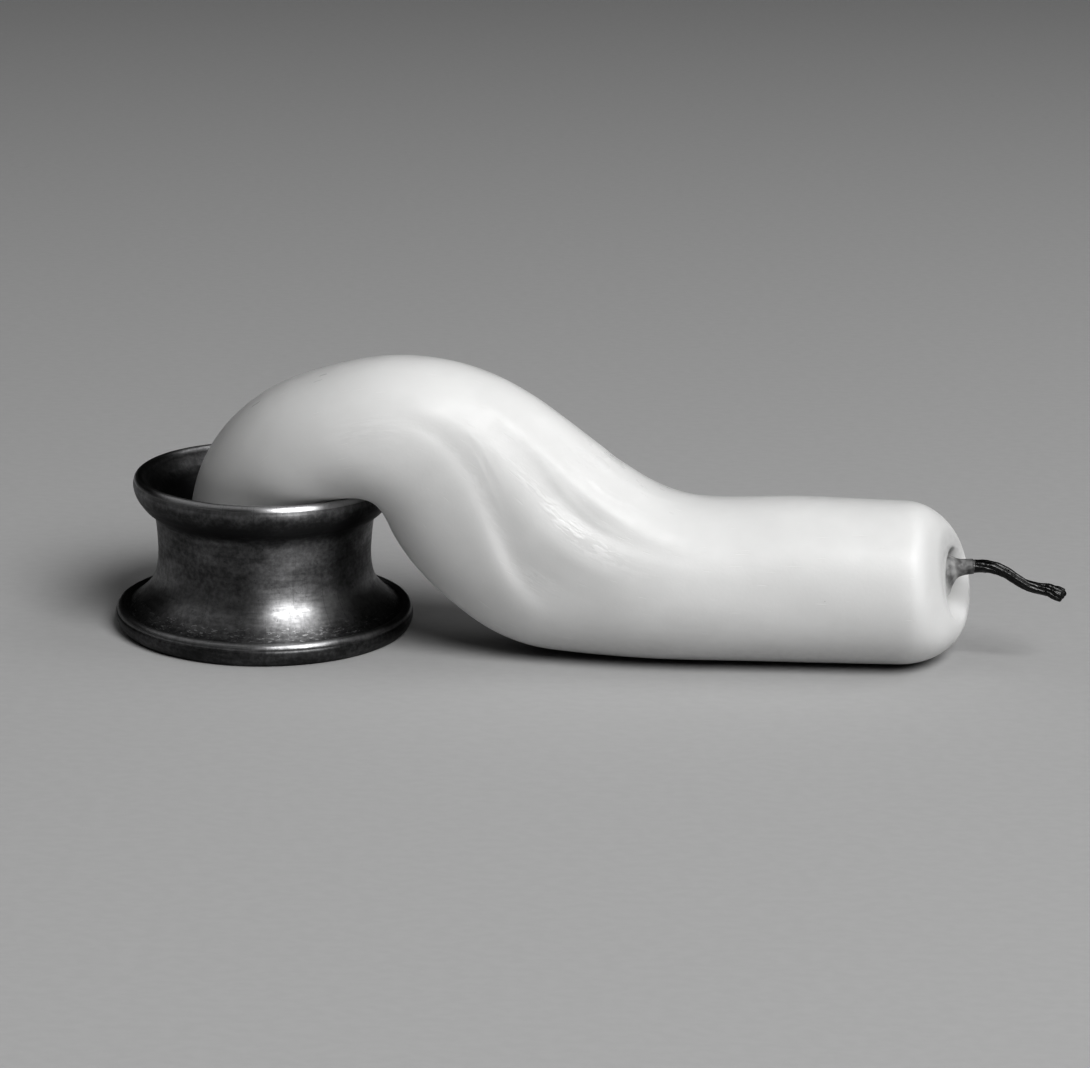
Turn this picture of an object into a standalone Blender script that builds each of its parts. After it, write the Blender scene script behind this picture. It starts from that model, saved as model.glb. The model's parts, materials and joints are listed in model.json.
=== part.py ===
"""A household candle that softened, arched over the lip of its holder and came to rest on the table.

Three pieces: the wax candle, the wick that runs through it, and the turned metal holder.
Metres, +Z up. The origin is on the holder's axis, on the table; the candle points along +X.
"""

import math

import bmesh
import bpy
import numpy as np

# ---------------------------------------------------------------- driving dimensions
CLEARANCE = 0.0003              # gap kept between pieces that touch
CANDLE_RADIUS = 0.0110          # of the candle where it is undistorted
WICK_RADIUS = 0.00095
TURNED_SIDES = 48               # facets round the holder
TUBE_SIDES = 8                  # facets round the wick and its bore
PRINT_SIDES = 12                # facets round the print that the holder's lip leaves in the wax

# The holder: a socket that opens into a trumpet mouth, a rolled lip with a band under it, a
# drawn-in waist and a foot with a raised rim.
CUP_FLOOR = 0.0016              # thickness of the metal under the socket
SOCKET_RADIUS = 0.0116
SOCKET_CORNER = 0.0006
MOUTH_BOTTOM = 0.0105           # height at which the socket begins to open
MOUTH_WIDTH = 0.0074            # half axes of the mouth's elliptical curve
MOUTH_HEIGHT = 0.0096
LIP_RADIUS = 0.01655            # centre of the rolled lip
LIP_CENTRE_HEIGHT = 0.0197
LIP_HALF_WIDTH = 0.00080
LIP_HALF_HEIGHT = 0.00110
OUTSIDE = (                     # radius and height down the outside, from the lip to the foot's rim
    (0.01722, 0.01870),
    (0.01708, 0.01815),
    (0.01688, 0.01768),
    (0.01652, 0.01712),
    (0.01592, 0.01638),
    (0.01512, 0.01568),
    (0.01460, 0.01495),
    (0.01442, 0.01400),
    (0.01428, 0.01240),
    (0.01420, 0.01080),
    (0.01421, 0.00950),
    (0.01434, 0.00820),
    (0.01464, 0.00690),
    (0.01510, 0.00592),
    (0.01575, 0.00506),
    (0.01658, 0.00420),
    (0.01745, 0.00348),
    (0.01812, 0.00302),
    (0.01845, 0.00286),
)
FOOT_OUTLINE = (                # the foot's rim and side
    (0.01896, 0.00312),
    (0.01941, 0.00296),
    (0.01968, 0.00256),
    (0.01986, 0.00176),
    (0.01966, 0.00080),
    (0.01890, 0.00000),
)

# The candle's cross sections, from its foot to where its burnt end begins to round off:
# centre x, y, z, half thickness on the outer side of the bend, half thickness on the inner
# side, half width across. The stretch that slid down off the lip is wide and flat.
SECTIONS = (
    (0.0000, 0.0000, 0.0020, 0.0109, 0.0109, 0.0109),
    (0.0001, -0.0001, 0.0070, 0.0109, 0.0109, 0.0109),
    (0.0005, -0.0004, 0.0130, 0.0107, 0.0107, 0.0109),
    (0.0011, -0.0012, 0.0180, 0.0104, 0.0098, 0.0109),
    (0.0030, -0.0027, 0.0220, 0.0100, 0.0087, 0.0110),
    (0.0065, -0.0050, 0.0255, 0.0096, 0.0080, 0.0112),
    (0.0116, -0.0075, 0.0281, 0.0095, 0.0082, 0.0112),
    (0.0170, -0.0092, 0.0290, 0.0103, 0.0101, 0.0108),
    (0.0220, -0.0101, 0.0277, 0.0119, 0.0119, 0.0100),
    (0.0264, -0.0106, 0.0249, 0.0133, 0.0132, 0.0094),
    (0.0305, -0.0109, 0.0213, 0.0141, 0.0141, 0.0092),
    (0.0347, -0.0110, 0.0177, 0.0144, 0.0144, 0.0093),
    (0.0393, -0.0111, 0.0148, 0.0142, 0.0142, 0.0096),
    (0.0443, -0.0111, 0.0130, 0.0134, 0.0129, 0.0102),
    (0.0495, -0.0111, 0.0119, 0.0120, 0.0119, 0.0108),
    (0.0550, -0.0111, 0.0112, 0.0110, 0.0113, 0.0110),
    (0.0610, -0.0111, 0.0109, 0.0109, 0.0110, 0.0110),
    (0.0700, -0.0111, 0.0109, 0.0111, 0.0110, 0.0110),
    (0.0790, -0.0111, 0.0109, 0.0109, 0.0110, 0.0110),
    (0.0836, -0.0111, 0.0109, 0.0108, 0.0110, 0.0110),
)

# Folds that run down the slumped stretch. Angles go round a section: 90 on the outer side of
# the bend, 180 on the near side (-Y), 270 on the inner side. Each fold is a row of stations:
# distance along the candle, angle, height (less than nothing in a crease), and how far it spreads
# towards larger and towards smaller angles.
FOLDS = (
    (   # deepest crease, steep on its lower side, ending in a point
        (0.0385, 153.0, 0.0, 4.5, 6.0),
        (0.0430, 159.0, -0.00016, 4.2, 6.0),
        (0.0500, 171.0, -0.00022, 3.8, 8.0),
        (0.0550, 180.5, -0.00030, 3.4, 9.0),
        (0.0600, 192.0, -0.00050, 3.0, 7.5),
        (0.0630, 198.5, -0.00032, 3.2, 7.5),
        (0.0670, 205.0, 0.0, 5.0, 8.0),
    ),
    (   # low ridge along that crease
        (0.0375, 161.0, 0.0, 9.0, 4.0),
        (0.0430, 166.0, 0.00008, 9.0, 4.0),
        (0.0520, 182.0, 0.00012, 10.0, 4.0),
        (0.0600, 199.0, 0.00020, 10.0, 3.4),
        (0.0645, 208.0, 0.0, 9.0, 4.0),
    ),
    (   # hollow where the crease runs out
        (0.0600, 188.0, 0.0, 10.0, 6.0),
        (0.0655, 191.5, -0.00028, 12.0, 5.0),
        (0.0740, 196.0, 0.0, 12.0, 8.0),
    ),
    (   # broad ridge down the middle of the slump
        (0.0390, 148.0, 0.0, 8.0, 10.0),
        (0.0450, 153.5, 0.00018, 8.0, 9.0),
        (0.0520, 162.0, 0.00030, 8.0, 8.5),
        (0.0590, 167.5, 0.00038, 6.0, 7.5),
        (0.0660, 171.0, 0.00036, 4.5, 7.5),
        (0.0710, 172.5, 0.00018, 4.5, 8.0),
        (0.0760, 174.0, 0.0, 6.0, 8.0),
    ),
    (   # long crease above it
        (0.0420, 132.0, 0.0, 6.0, 6.0),
        (0.0500, 141.0, -0.00009, 6.0, 5.0),
        (0.0580, 147.5, -0.00020, 5.5, 5.0),
        (0.0670, 151.0, -0.00026, 4.5, 4.8),
        (0.0750, 152.5, -0.00018, 5.0, 5.0),
        (0.0840, 150.0, 0.0, 6.0, 6.0),
    ),
    (   # upper ridge
        (0.0430, 126.0, 0.0, 7.0, 6.0),
        (0.0500, 134.5, 0.00012, 6.0, 5.0),
        (0.0600, 139.5, 0.00016, 5.0, 4.5),
        (0.0680, 140.5, 0.00013, 4.5, 4.0),
        (0.0750, 141.0, 0.0, 6.0, 5.0),
    ),
    (   # faint ridge near the top
        (0.0540, 113.0, 0.0, 3.0, 3.5),
        (0.0630, 114.8, 0.00008, 3.2, 4.0),
        (0.0720, 113.0, 0.0, 3.0, 3.5),
    ),
    (   # fainter ridge above that
        (0.0560, 101.0, 0.0, 3.0, 4.0),
        (0.0640, 101.5, 0.00006, 2.8, 4.0),
        (0.0720, 101.0, 0.0, 3.0, 4.0),
    ),
    (   # far side: a soft ridge
        (0.0380, 62.0, 0.0, 12.0, 8.0),
        (0.0550, 40.0, 0.00025, 12.0, 8.0),
        (0.0720, 22.0, 0.0, 12.0, 8.0),
    ),
    (   # far side: the crease below it
        (0.0400, 44.0, 0.0, 8.0, 10.0),
        (0.0550, 20.0, -0.00030, 8.0, 10.0),
        (0.0700, 4.0, 0.0, 8.0, 10.0),
    ),
)
ROUNDING = 0.0016               # over which the run of a fold is rounded off at its stations

# The candle's cage: where each run of sections starts, with how many sections it has, and the
# same for the columns round a section. Both are closest together at the folds.
SECTION_RUNS = ((0.0012, 4), (0.0200, 7), (0.0410, 16), (0.0780, 4))
COLUMN_RUNS = ((98, 16), (214, 6), (326, 7))
FOOT_SHARES = (0.55, 0.96)      # rings on the candle's flat foot, as shares of its radius

# The burnt end: a round shoulder, cut off at a slant, with a melt pool round the wick.
SHOULDER_LENGTH = 0.00735
POOL_RADIUS = 0.0051
POOL_DEPTH = 0.0024
SHOULDER_TURNS = (22, 44, 66, 90)
POOL_SHARES = (0.33, 0.80)      # rings between the pool's edge and the wick
END_YAW = math.tan(math.radians(22.0))
END_PITCH = math.tan(math.radians(11.5))

# The wick's free end, from just under the melt pool outwards: x, y, z of each bend.
WICK_BENDS = (
    (0.0872, -0.0111, 0.0114),
    (0.0893, -0.0112, 0.0126),
    (0.0915, -0.0113, 0.0131),
    (0.0945, -0.0114, 0.0133),
    (0.0964, -0.0115, 0.0129),
    (0.0982, -0.0116, 0.0119),
    (0.1005, -0.0117, 0.0107),
    (0.1030, -0.0118, 0.0103),
    (0.1051, -0.0119, 0.0095),
)
WICK_TIP_SWELL = 1.35           # the charred tip is this much thicker
WICK_POINTS_INSIDE = 34
WICK_POINTS_OUTSIDE = 14
BORE_OVERRUN = 0.004            # the wick's bore starts this far under the candle's foot

WAX = (0.86, 0.85, 0.82, 1.0)
CHAR = (0.02, 0.02, 0.02, 1.0)
PEWTER = (0.13, 0.13, 0.135, 1.0)


# ---------------------------------------------------------------- smooth curves
class SmoothCurve:
    """A natural cubic spline through rows of values, by distance along their first three columns."""

    def __init__(self, rows):
        self.rows = np.array(rows, float)
        steps = np.linalg.norm(np.diff(self.rows[:, :3], axis=0), axis=1)
        self.at = np.concatenate(([0.0], np.cumsum(steps)))
        self.length = float(self.at[-1])
        count = len(self.at)
        system = np.eye(count)
        right = np.zeros_like(self.rows)
        for i in range(1, count - 1):
            before, after = steps[i - 1], steps[i]
            system[i, i - 1:i + 2] = before, 2.0 * (before + after), after
            rise_after = (self.rows[i + 1] - self.rows[i]) / after
            rise_before = (self.rows[i] - self.rows[i - 1]) / before
            right[i] = 6.0 * (rise_after - rise_before)
        self.bend = np.linalg.solve(system, right)

    def _span(self, s):
        i = int(np.clip(np.searchsorted(self.at, s, side="right") - 1, 0, len(self.at) - 2))
        return i, self.at[i + 1] - self.at[i], self.at[i + 1] - s, s - self.at[i]

    def value(self, s):
        i, h, a, b = self._span(s)
        curve = (self.bend[i] * a**3 + self.bend[i + 1] * b**3) / (6.0 * h)
        chord = (self.rows[i] / h - self.bend[i] * h / 6.0) * a
        return curve + chord + (self.rows[i + 1] / h - self.bend[i + 1] * h / 6.0) * b

    def slope(self, s):
        i, h, a, b = self._span(s)
        curve = (self.bend[i + 1] * b**2 - self.bend[i] * a**2) / (2.0 * h)
        return curve + (self.rows[i + 1] - self.rows[i]) / h - (self.bend[i + 1] - self.bend[i]) * h / 6.0


def ease(t):
    t = min(max(t, 0.0), 1.0)
    return t * t * (3.0 - 2.0 * t)


def arc(centre_r, centre_z, half_width, half_height, start, end, count):
    """Points of an elliptical arc in the holder's profile, angles in degrees from +r to +z."""
    angles = np.radians(np.linspace(start, end, count))
    return [(centre_r + half_width * math.cos(a), centre_z + half_height * math.sin(a)) for a in angles]


def outside_radius(radius, sides):
    """Corner radius of the polygon that lies just outside a circle."""
    return radius / math.cos(math.pi / sides)


# ---------------------------------------------------------------- the candle's form
CANDLE_LINE = SmoothCurve(SECTIONS)


def section_frame(s):
    """Centre, direction, sideways and outward unit vectors, and the three half sizes at s."""
    row = CANDLE_LINE.value(s)
    along = CANDLE_LINE.slope(s)[:3]
    along = along / np.linalg.norm(along)
    side = np.array((0.0, 1.0, 0.0))
    side = side - along[1] * along
    side = side / np.linalg.norm(side)
    outward = np.cross(along, side)
    return row[:3], along, side, outward, row[3:]


def along_stations(s, places, values):
    """A value at s, joined from station to station and rounded off there."""
    shifts = np.linspace(-ROUNDING, ROUNDING, 9)
    return float(np.mean(np.interp(s + shifts, places, values)))


def fold_height(s, degrees):
    """Height of the folds over the smooth form."""
    total = 0.0
    for stations in FOLDS:
        places, angles, heights, spreads_up, spreads_down = zip(*stations)
        height = along_stations(s, places, heights)
        if height == 0.0:
            continue
        offset = (degrees - along_stations(s, places, angles) + 180.0) % 360.0 - 180.0
        spread = along_stations(s, places, spreads_up if offset > 0.0 else spreads_down)
        total += height * math.exp(-0.5 * (offset / spread) ** 2)
    return total


def candle_point(s, degrees, growth):
    """A cage point of the candle; growth makes up for what smoothing the cage takes off."""
    centre, _, side, outward, (outer, inner, across) = section_frame(s)
    angle = math.radians(degrees)
    thickness = outer if math.sin(angle) > 0.0 else inner
    spoke = thickness * math.sin(angle) * outward + across * math.cos(angle) * side
    spoke = spoke * (growth + fold_height(s, degrees) / np.linalg.norm(spoke))
    point = centre + spoke
    point[2] = max(point[2], 0.0)
    return point


def end_point(beyond, radius, slant, degrees):
    """A point on the burnt end: distance beyond the last section, radius, share of the slant."""
    centre, along, side, outward, _ = section_frame(CANDLE_LINE.length)
    across = radius * math.cos(math.radians(degrees))
    up = radius * math.sin(math.radians(degrees))
    shift = slant * (END_YAW * across - END_PITCH * up)
    point = centre + (beyond + shift) * along + across * side + up * outward
    point[2] = max(point[2], 0.0)
    return point


# ---------------------------------------------------------------- mesh helpers
def collection(name):
    made = bpy.data.collections.new(name)
    bpy.context.scene.collection.children.link(made)
    return made


def material(name, colour, roughness, metallic=0.0):
    made = bpy.data.materials.new(name)
    made.use_nodes = True
    shader = made.node_tree.nodes["Principled BSDF"]
    shader.inputs["Base Color"].default_value = colour
    shader.inputs["Roughness"].default_value = roughness
    shader.inputs["Metallic"].default_value = metallic
    made.diffuse_color = colour
    return made


def mesh_object(name, bm, group, look=None):
    mesh = bpy.data.meshes.new(name)
    bm.to_mesh(mesh)
    bm.free()
    made = bpy.data.objects.new(name, mesh)
    group.objects.link(made)
    if look:
        mesh.materials.append(look)
    mesh.shade_smooth()
    return made


def loft(rings):
    """A closed skin over rings of equal count, with a flat cap on each end."""
    bm = bmesh.new()
    loops = [[bm.verts.new(tuple(p)) for p in ring] for ring in rings]
    count = len(loops[0])
    for lower, upper in zip(loops, loops[1:]):
        for i in range(count):
            j = (i + 1) % count
            bm.faces.new((lower[i], lower[j], upper[j], upper[i]))
    bm.faces.new(tuple(reversed(loops[0])))
    bm.faces.new(tuple(loops[-1]))
    bmesh.ops.recalc_face_normals(bm, faces=bm.faces)
    return bm


def tube(name, points, radii, group, look=None):
    """A wire as a poly curve with a round bevel, turned into a closed mesh."""
    curve = bpy.data.curves.new(name, "CURVE")
    curve.dimensions = "3D"
    curve.bevel_depth = 1.0
    curve.bevel_resolution = TUBE_SIDES // 2 - 2
    curve.use_fill_caps = True
    spline = curve.splines.new("POLY")
    spline.points.add(len(points) - 1)
    for knot, point, radius in zip(spline.points, points, radii):
        knot.co = (*point, 1.0)
        knot.radius = radius
    guide = bpy.data.objects.new(name + "_route", curve)
    group.objects.link(guide)
    bpy.context.view_layer.update()
    evaluated = guide.evaluated_get(bpy.context.evaluated_depsgraph_get())
    mesh = bpy.data.meshes.new_from_object(evaluated)
    mesh.name = name
    bm = bmesh.new()
    bm.from_mesh(mesh)
    bmesh.ops.remove_doubles(bm, verts=bm.verts, dist=0.00001)
    bmesh.ops.recalc_face_normals(bm, faces=bm.faces)
    bm.to_mesh(mesh)
    bm.free()
    made = bpy.data.objects.new(name, mesh)
    made.matrix_world = guide.matrix_world.copy()
    group.objects.link(made)
    bpy.data.objects.remove(guide)
    mesh.materials.clear()
    if look:
        mesh.materials.append(look)
    mesh.shade_smooth()
    return made


def outline(points, closed=False):
    """A line of edges in the XZ plane through points given as radius and height."""
    bm = bmesh.new()
    verts = [bm.verts.new((r, 0.0, z)) for r, z in points]
    for a, b in zip(verts, verts[1:]):
        bm.edges.new((a, b))
    if closed:
        bm.edges.new((verts[-1], verts[0]))
    return bm


def turn_about_axis(profile):
    """Turn a profile in the XZ plane about Z into a closed body."""
    turn = profile.modifiers.new("turn", "SCREW")
    turn.steps = TURNED_SIDES
    turn.render_steps = TURNED_SIDES
    turn.use_merge_vertices = True
    turn.merge_threshold = 0.00001
    turn.use_smooth_shade = True


def subtract(body, cutter):
    cut = body.modifiers.new(cutter.name, "BOOLEAN")
    cut.operation = "DIFFERENCE"
    cut.solver = "EXACT"
    cut.object = cutter


# ---------------------------------------------------------------- the pieces
def make_holder(group):
    """Turned spool: flat foot with a raised rim, drawn-in waist, rolled lip, and a socket inside."""
    corner = (SOCKET_RADIUS - SOCKET_CORNER, CUP_FLOOR + SOCKET_CORNER, SOCKET_CORNER, SOCKET_CORNER)
    mouth = (SOCKET_RADIUS + MOUTH_WIDTH, MOUTH_BOTTOM, MOUTH_WIDTH, MOUTH_HEIGHT)
    lip = (LIP_RADIUS, LIP_CENTRE_HEIGHT, LIP_HALF_WIDTH, LIP_HALF_HEIGHT)
    outside = SmoothCurve([(r, 0.0, z) for r, z in OUTSIDE])

    profile = [(0.0, CUP_FLOOR)]
    profile += arc(*corner, -90, 0, 3)
    profile += arc(*mouth, 180, 122, 6)
    profile += arc(*lip, 170, -35, 9)
    for s in np.linspace(0.0, outside.length, 20):
        r, _, z = outside.value(s)
        profile.append((r, z))
    profile += FOOT_OUTLINE
    profile += [(0.0, 0.0)]

    holder = mesh_object("holder", outline(profile), group, material("pewter", PEWTER, 0.38, 1.0))
    turn_about_axis(holder)
    return holder


def make_lip_print(group):
    """The lip's bead grown by the clearance: the print that it leaves in the wax lying over it."""
    half_width = outside_radius(LIP_HALF_WIDTH + CLEARANCE, PRINT_SIDES)
    half_height = outside_radius(LIP_HALF_HEIGHT + CLEARANCE, PRINT_SIDES)
    grown = arc(LIP_RADIUS, LIP_CENTRE_HEIGHT, half_width, half_height, 180, -180, PRINT_SIDES + 1)
    ring = mesh_object("lip_print", outline(grown[:-1], closed=True), group)
    turn_about_axis(ring)
    ring.hide_render = True
    ring.display_type = "WIRE"
    return ring


def runs(starts, end):
    """Values spread evenly over runs, each given as its start and count, up to but without the end."""
    values = []
    ends = [start for start, _ in starts[1:]] + [end]
    for (start, count), stop in zip(starts, ends):
        values += list(np.linspace(start, stop, count, endpoint=False))
    return values


def section_angles():
    """Angles of the columns round a section."""
    return np.array(runs(COLUMN_RUNS, COLUMN_RUNS[0][0] + 360.0))


def cage_growth(angles):
    """How far a cubic cage lies outside the round form that it smooths to, for each of its angles."""
    before = (angles - np.roll(angles, 1)) % 360.0
    after = (np.roll(angles, -1) - angles) % 360.0
    return 3.0 / (2.0 + np.cos(np.radians(0.5 * (before + after))))


def section_places():
    """Distances of the sections along the candle."""
    return runs(SECTION_RUNS, CANDLE_LINE.length) + [CANDLE_LINE.length]


def make_candle(group, cutters):
    angles = section_angles()
    columns = list(zip(angles, cage_growth(angles)))
    foot = section_frame(0.0)[0]
    rings = []
    for share in FOOT_SHARES:
        rings.append([foot + share * (candle_point(0.0, a, g) - foot) for a, g in columns])
    for s in section_places():
        rings.append([candle_point(s, a, g) for a, g in columns])
    # round shoulder up to the crest of the melt pool's edge, then down into the pool
    for turn in SHOULDER_TURNS:
        t = math.radians(turn)
        radius = POOL_RADIUS + (CANDLE_RADIUS - POOL_RADIUS) * math.cos(t) ** 0.9
        beyond = SHOULDER_LENGTH * math.sin(t)
        rings.append([end_point(beyond, radius * g, math.sin(t) ** 1.5, a) for a, g in columns])
    for share in POOL_SHARES:
        radius = POOL_RADIUS + (WICK_RADIUS + CLEARANCE - POOL_RADIUS) * share
        drop = POOL_DEPTH * 0.5 * (1.0 - math.cos(math.pi * share))
        rings.append([end_point(SHOULDER_LENGTH - drop, radius * g, 1.0, a) for a, g in columns])
    candle = mesh_object("candle", loft(rings), group, material("wax", WAX, 0.35))
    soft = candle.modifiers.new("soft", "SUBSURF")
    soft.levels = 1
    soft.render_levels = 1

    points, radii = wick_route(-BORE_OVERRUN)
    bore_radii = [outside_radius(r + CLEARANCE, TUBE_SIDES) for r in radii]
    bore = tube("wick_bore", points, bore_radii, cutters)
    bore.hide_render = True
    bore.display_type = "WIRE"
    subtract(candle, bore)
    subtract(candle, make_lip_print(cutters))
    return candle


def wick_route(start):
    """Points and radii along the wick to its tip, from start, which is 0 at the candle's foot."""
    points, radii = [], []
    if start < 0.0:
        points.append(section_frame(0.0)[0] + np.array((0.0, 0.0, start)))
        radii.append(WICK_RADIUS)
    for s in np.linspace(0.0, CANDLE_LINE.length, WICK_POINTS_INSIDE):
        points.append(section_frame(s)[0])
        radii.append(WICK_RADIUS)
    free = SmoothCurve([tuple(points[-1])] + list(WICK_BENDS))
    for share in np.linspace(0.0, 1.0, WICK_POINTS_OUTSIDE)[1:]:
        swell = (WICK_TIP_SWELL - 1.0) * ease((share - 0.75) / 0.15)
        points.append(free.value(share * free.length))
        radii.append(WICK_RADIUS * (1.0 + swell))
    return points, radii


def make_wick(group):
    points, radii = wick_route(0.0)
    return tube("wick", points, radii, group, material("charred_wick", CHAR, 0.6))


def main():
    for old in list(bpy.data.objects):
        bpy.data.objects.remove(old)
    pieces = collection("melted_candle")
    cutters = collection("cutters")
    make_holder(pieces)
    make_candle(pieces, cutters)
    make_wick(pieces)


main()
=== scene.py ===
"""The looks of a household candle that softened, arched over its pewter holder and set on the table.

One operator each builds the wax, the wick, the holder and the stage. Lengths are metres, +Z is up,
the origin is on the holder's axis at table height, and the candle's burnt end points along +X.
"""

import functools
import json
import math

import bpy
import numpy as np
from bpy.props import FloatProperty, FloatVectorProperty, IntProperty, PointerProperty
from bpy.types import Operator, Panel, PropertyGroup
from mathutils import Matrix, Vector, noise

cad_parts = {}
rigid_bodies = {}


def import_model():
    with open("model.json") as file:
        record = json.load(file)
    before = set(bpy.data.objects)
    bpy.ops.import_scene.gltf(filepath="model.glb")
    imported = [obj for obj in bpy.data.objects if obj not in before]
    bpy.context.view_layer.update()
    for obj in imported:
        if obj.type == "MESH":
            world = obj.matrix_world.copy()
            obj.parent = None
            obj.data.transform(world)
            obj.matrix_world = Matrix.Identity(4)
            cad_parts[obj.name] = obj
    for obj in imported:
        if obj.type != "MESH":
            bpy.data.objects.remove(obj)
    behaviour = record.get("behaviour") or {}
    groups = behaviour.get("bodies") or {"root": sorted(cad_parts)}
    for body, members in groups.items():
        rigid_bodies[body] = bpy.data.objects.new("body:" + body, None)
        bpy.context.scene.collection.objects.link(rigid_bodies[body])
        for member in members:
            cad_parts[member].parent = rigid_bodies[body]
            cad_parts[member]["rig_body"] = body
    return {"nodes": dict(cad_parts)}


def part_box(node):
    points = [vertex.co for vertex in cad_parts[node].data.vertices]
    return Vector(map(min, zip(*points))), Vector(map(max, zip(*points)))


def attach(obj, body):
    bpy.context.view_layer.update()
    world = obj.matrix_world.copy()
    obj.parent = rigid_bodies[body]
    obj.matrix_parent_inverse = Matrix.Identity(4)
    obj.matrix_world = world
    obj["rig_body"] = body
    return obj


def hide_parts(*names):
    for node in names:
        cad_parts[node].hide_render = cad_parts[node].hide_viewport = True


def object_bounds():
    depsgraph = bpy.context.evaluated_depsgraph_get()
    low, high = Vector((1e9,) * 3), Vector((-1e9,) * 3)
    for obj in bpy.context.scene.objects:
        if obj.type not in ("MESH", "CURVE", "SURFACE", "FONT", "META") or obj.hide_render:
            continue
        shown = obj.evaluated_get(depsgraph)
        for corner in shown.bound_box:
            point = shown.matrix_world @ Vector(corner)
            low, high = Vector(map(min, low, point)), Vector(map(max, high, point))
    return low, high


bl_info = {
    "name": "Melted Candle",
    "version": (1, 0, 0),
    "blender": (4, 5, 0),
    "location": "View3D > Sidebar > Melted Candle",
    "description": "Builds a slumped wax candle, its charred wick and its pewter holder",
    "category": "Add Mesh",
}

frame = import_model()
cad_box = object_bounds()
holder_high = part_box("holder")[1]

# ---------------- driving dimensions
CANDLE_RADIUS = 0.0110          # of the candle where it is undistorted
WICK_RADIUS = 0.00095
FOOT_ROUNDING = 0.0006          # of the edge of the candle's foot

# The candle's cross sections, from its foot to where its burnt end begins to round off:
# centre x, y, z, half thickness on the outer side of the bend, half thickness on the inner
# side, half width across. The stretch that slid down off the lip is wide and flat.
SECTIONS = (
    (0.0000, 0.0000, 0.0020, 0.0109, 0.0109, 0.0109),
    (0.0001, -0.0001, 0.0070, 0.0109, 0.0109, 0.0109),
    (0.0005, -0.0004, 0.0130, 0.0107, 0.0107, 0.0109),
    (0.0011, -0.0012, 0.0180, 0.0104, 0.0098, 0.0109),
    (0.0030, -0.0027, 0.0220, 0.0100, 0.0087, 0.0110),
    (0.0065, -0.0050, 0.0255, 0.0096, 0.0080, 0.0112),
    (0.0116, -0.0075, 0.0281, 0.0095, 0.0082, 0.0112),
    (0.0170, -0.0092, 0.0290, 0.0103, 0.0101, 0.0108),
    (0.0220, -0.0101, 0.0277, 0.0119, 0.0119, 0.0100),
    (0.0264, -0.0106, 0.0249, 0.0133, 0.0132, 0.0094),
    (0.0305, -0.0109, 0.0213, 0.0141, 0.0141, 0.0092),
    (0.0347, -0.0110, 0.0177, 0.0144, 0.0144, 0.0093),
    (0.0393, -0.0111, 0.0148, 0.0142, 0.0142, 0.0096),
    (0.0443, -0.0111, 0.0130, 0.0134, 0.0129, 0.0102),
    (0.0495, -0.0111, 0.0119, 0.0120, 0.0119, 0.0108),
    (0.0550, -0.0111, 0.0112, 0.0110, 0.0113, 0.0110),
    (0.0610, -0.0111, 0.0109, 0.0109, 0.0110, 0.0110),
    (0.0700, -0.0111, 0.0109, 0.0111, 0.0110, 0.0110),
    (0.0790, -0.0111, 0.0109, 0.0109, 0.0110, 0.0110),
    (0.0836, -0.0111, 0.0109, 0.0108, 0.0110, 0.0110),
)

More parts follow.
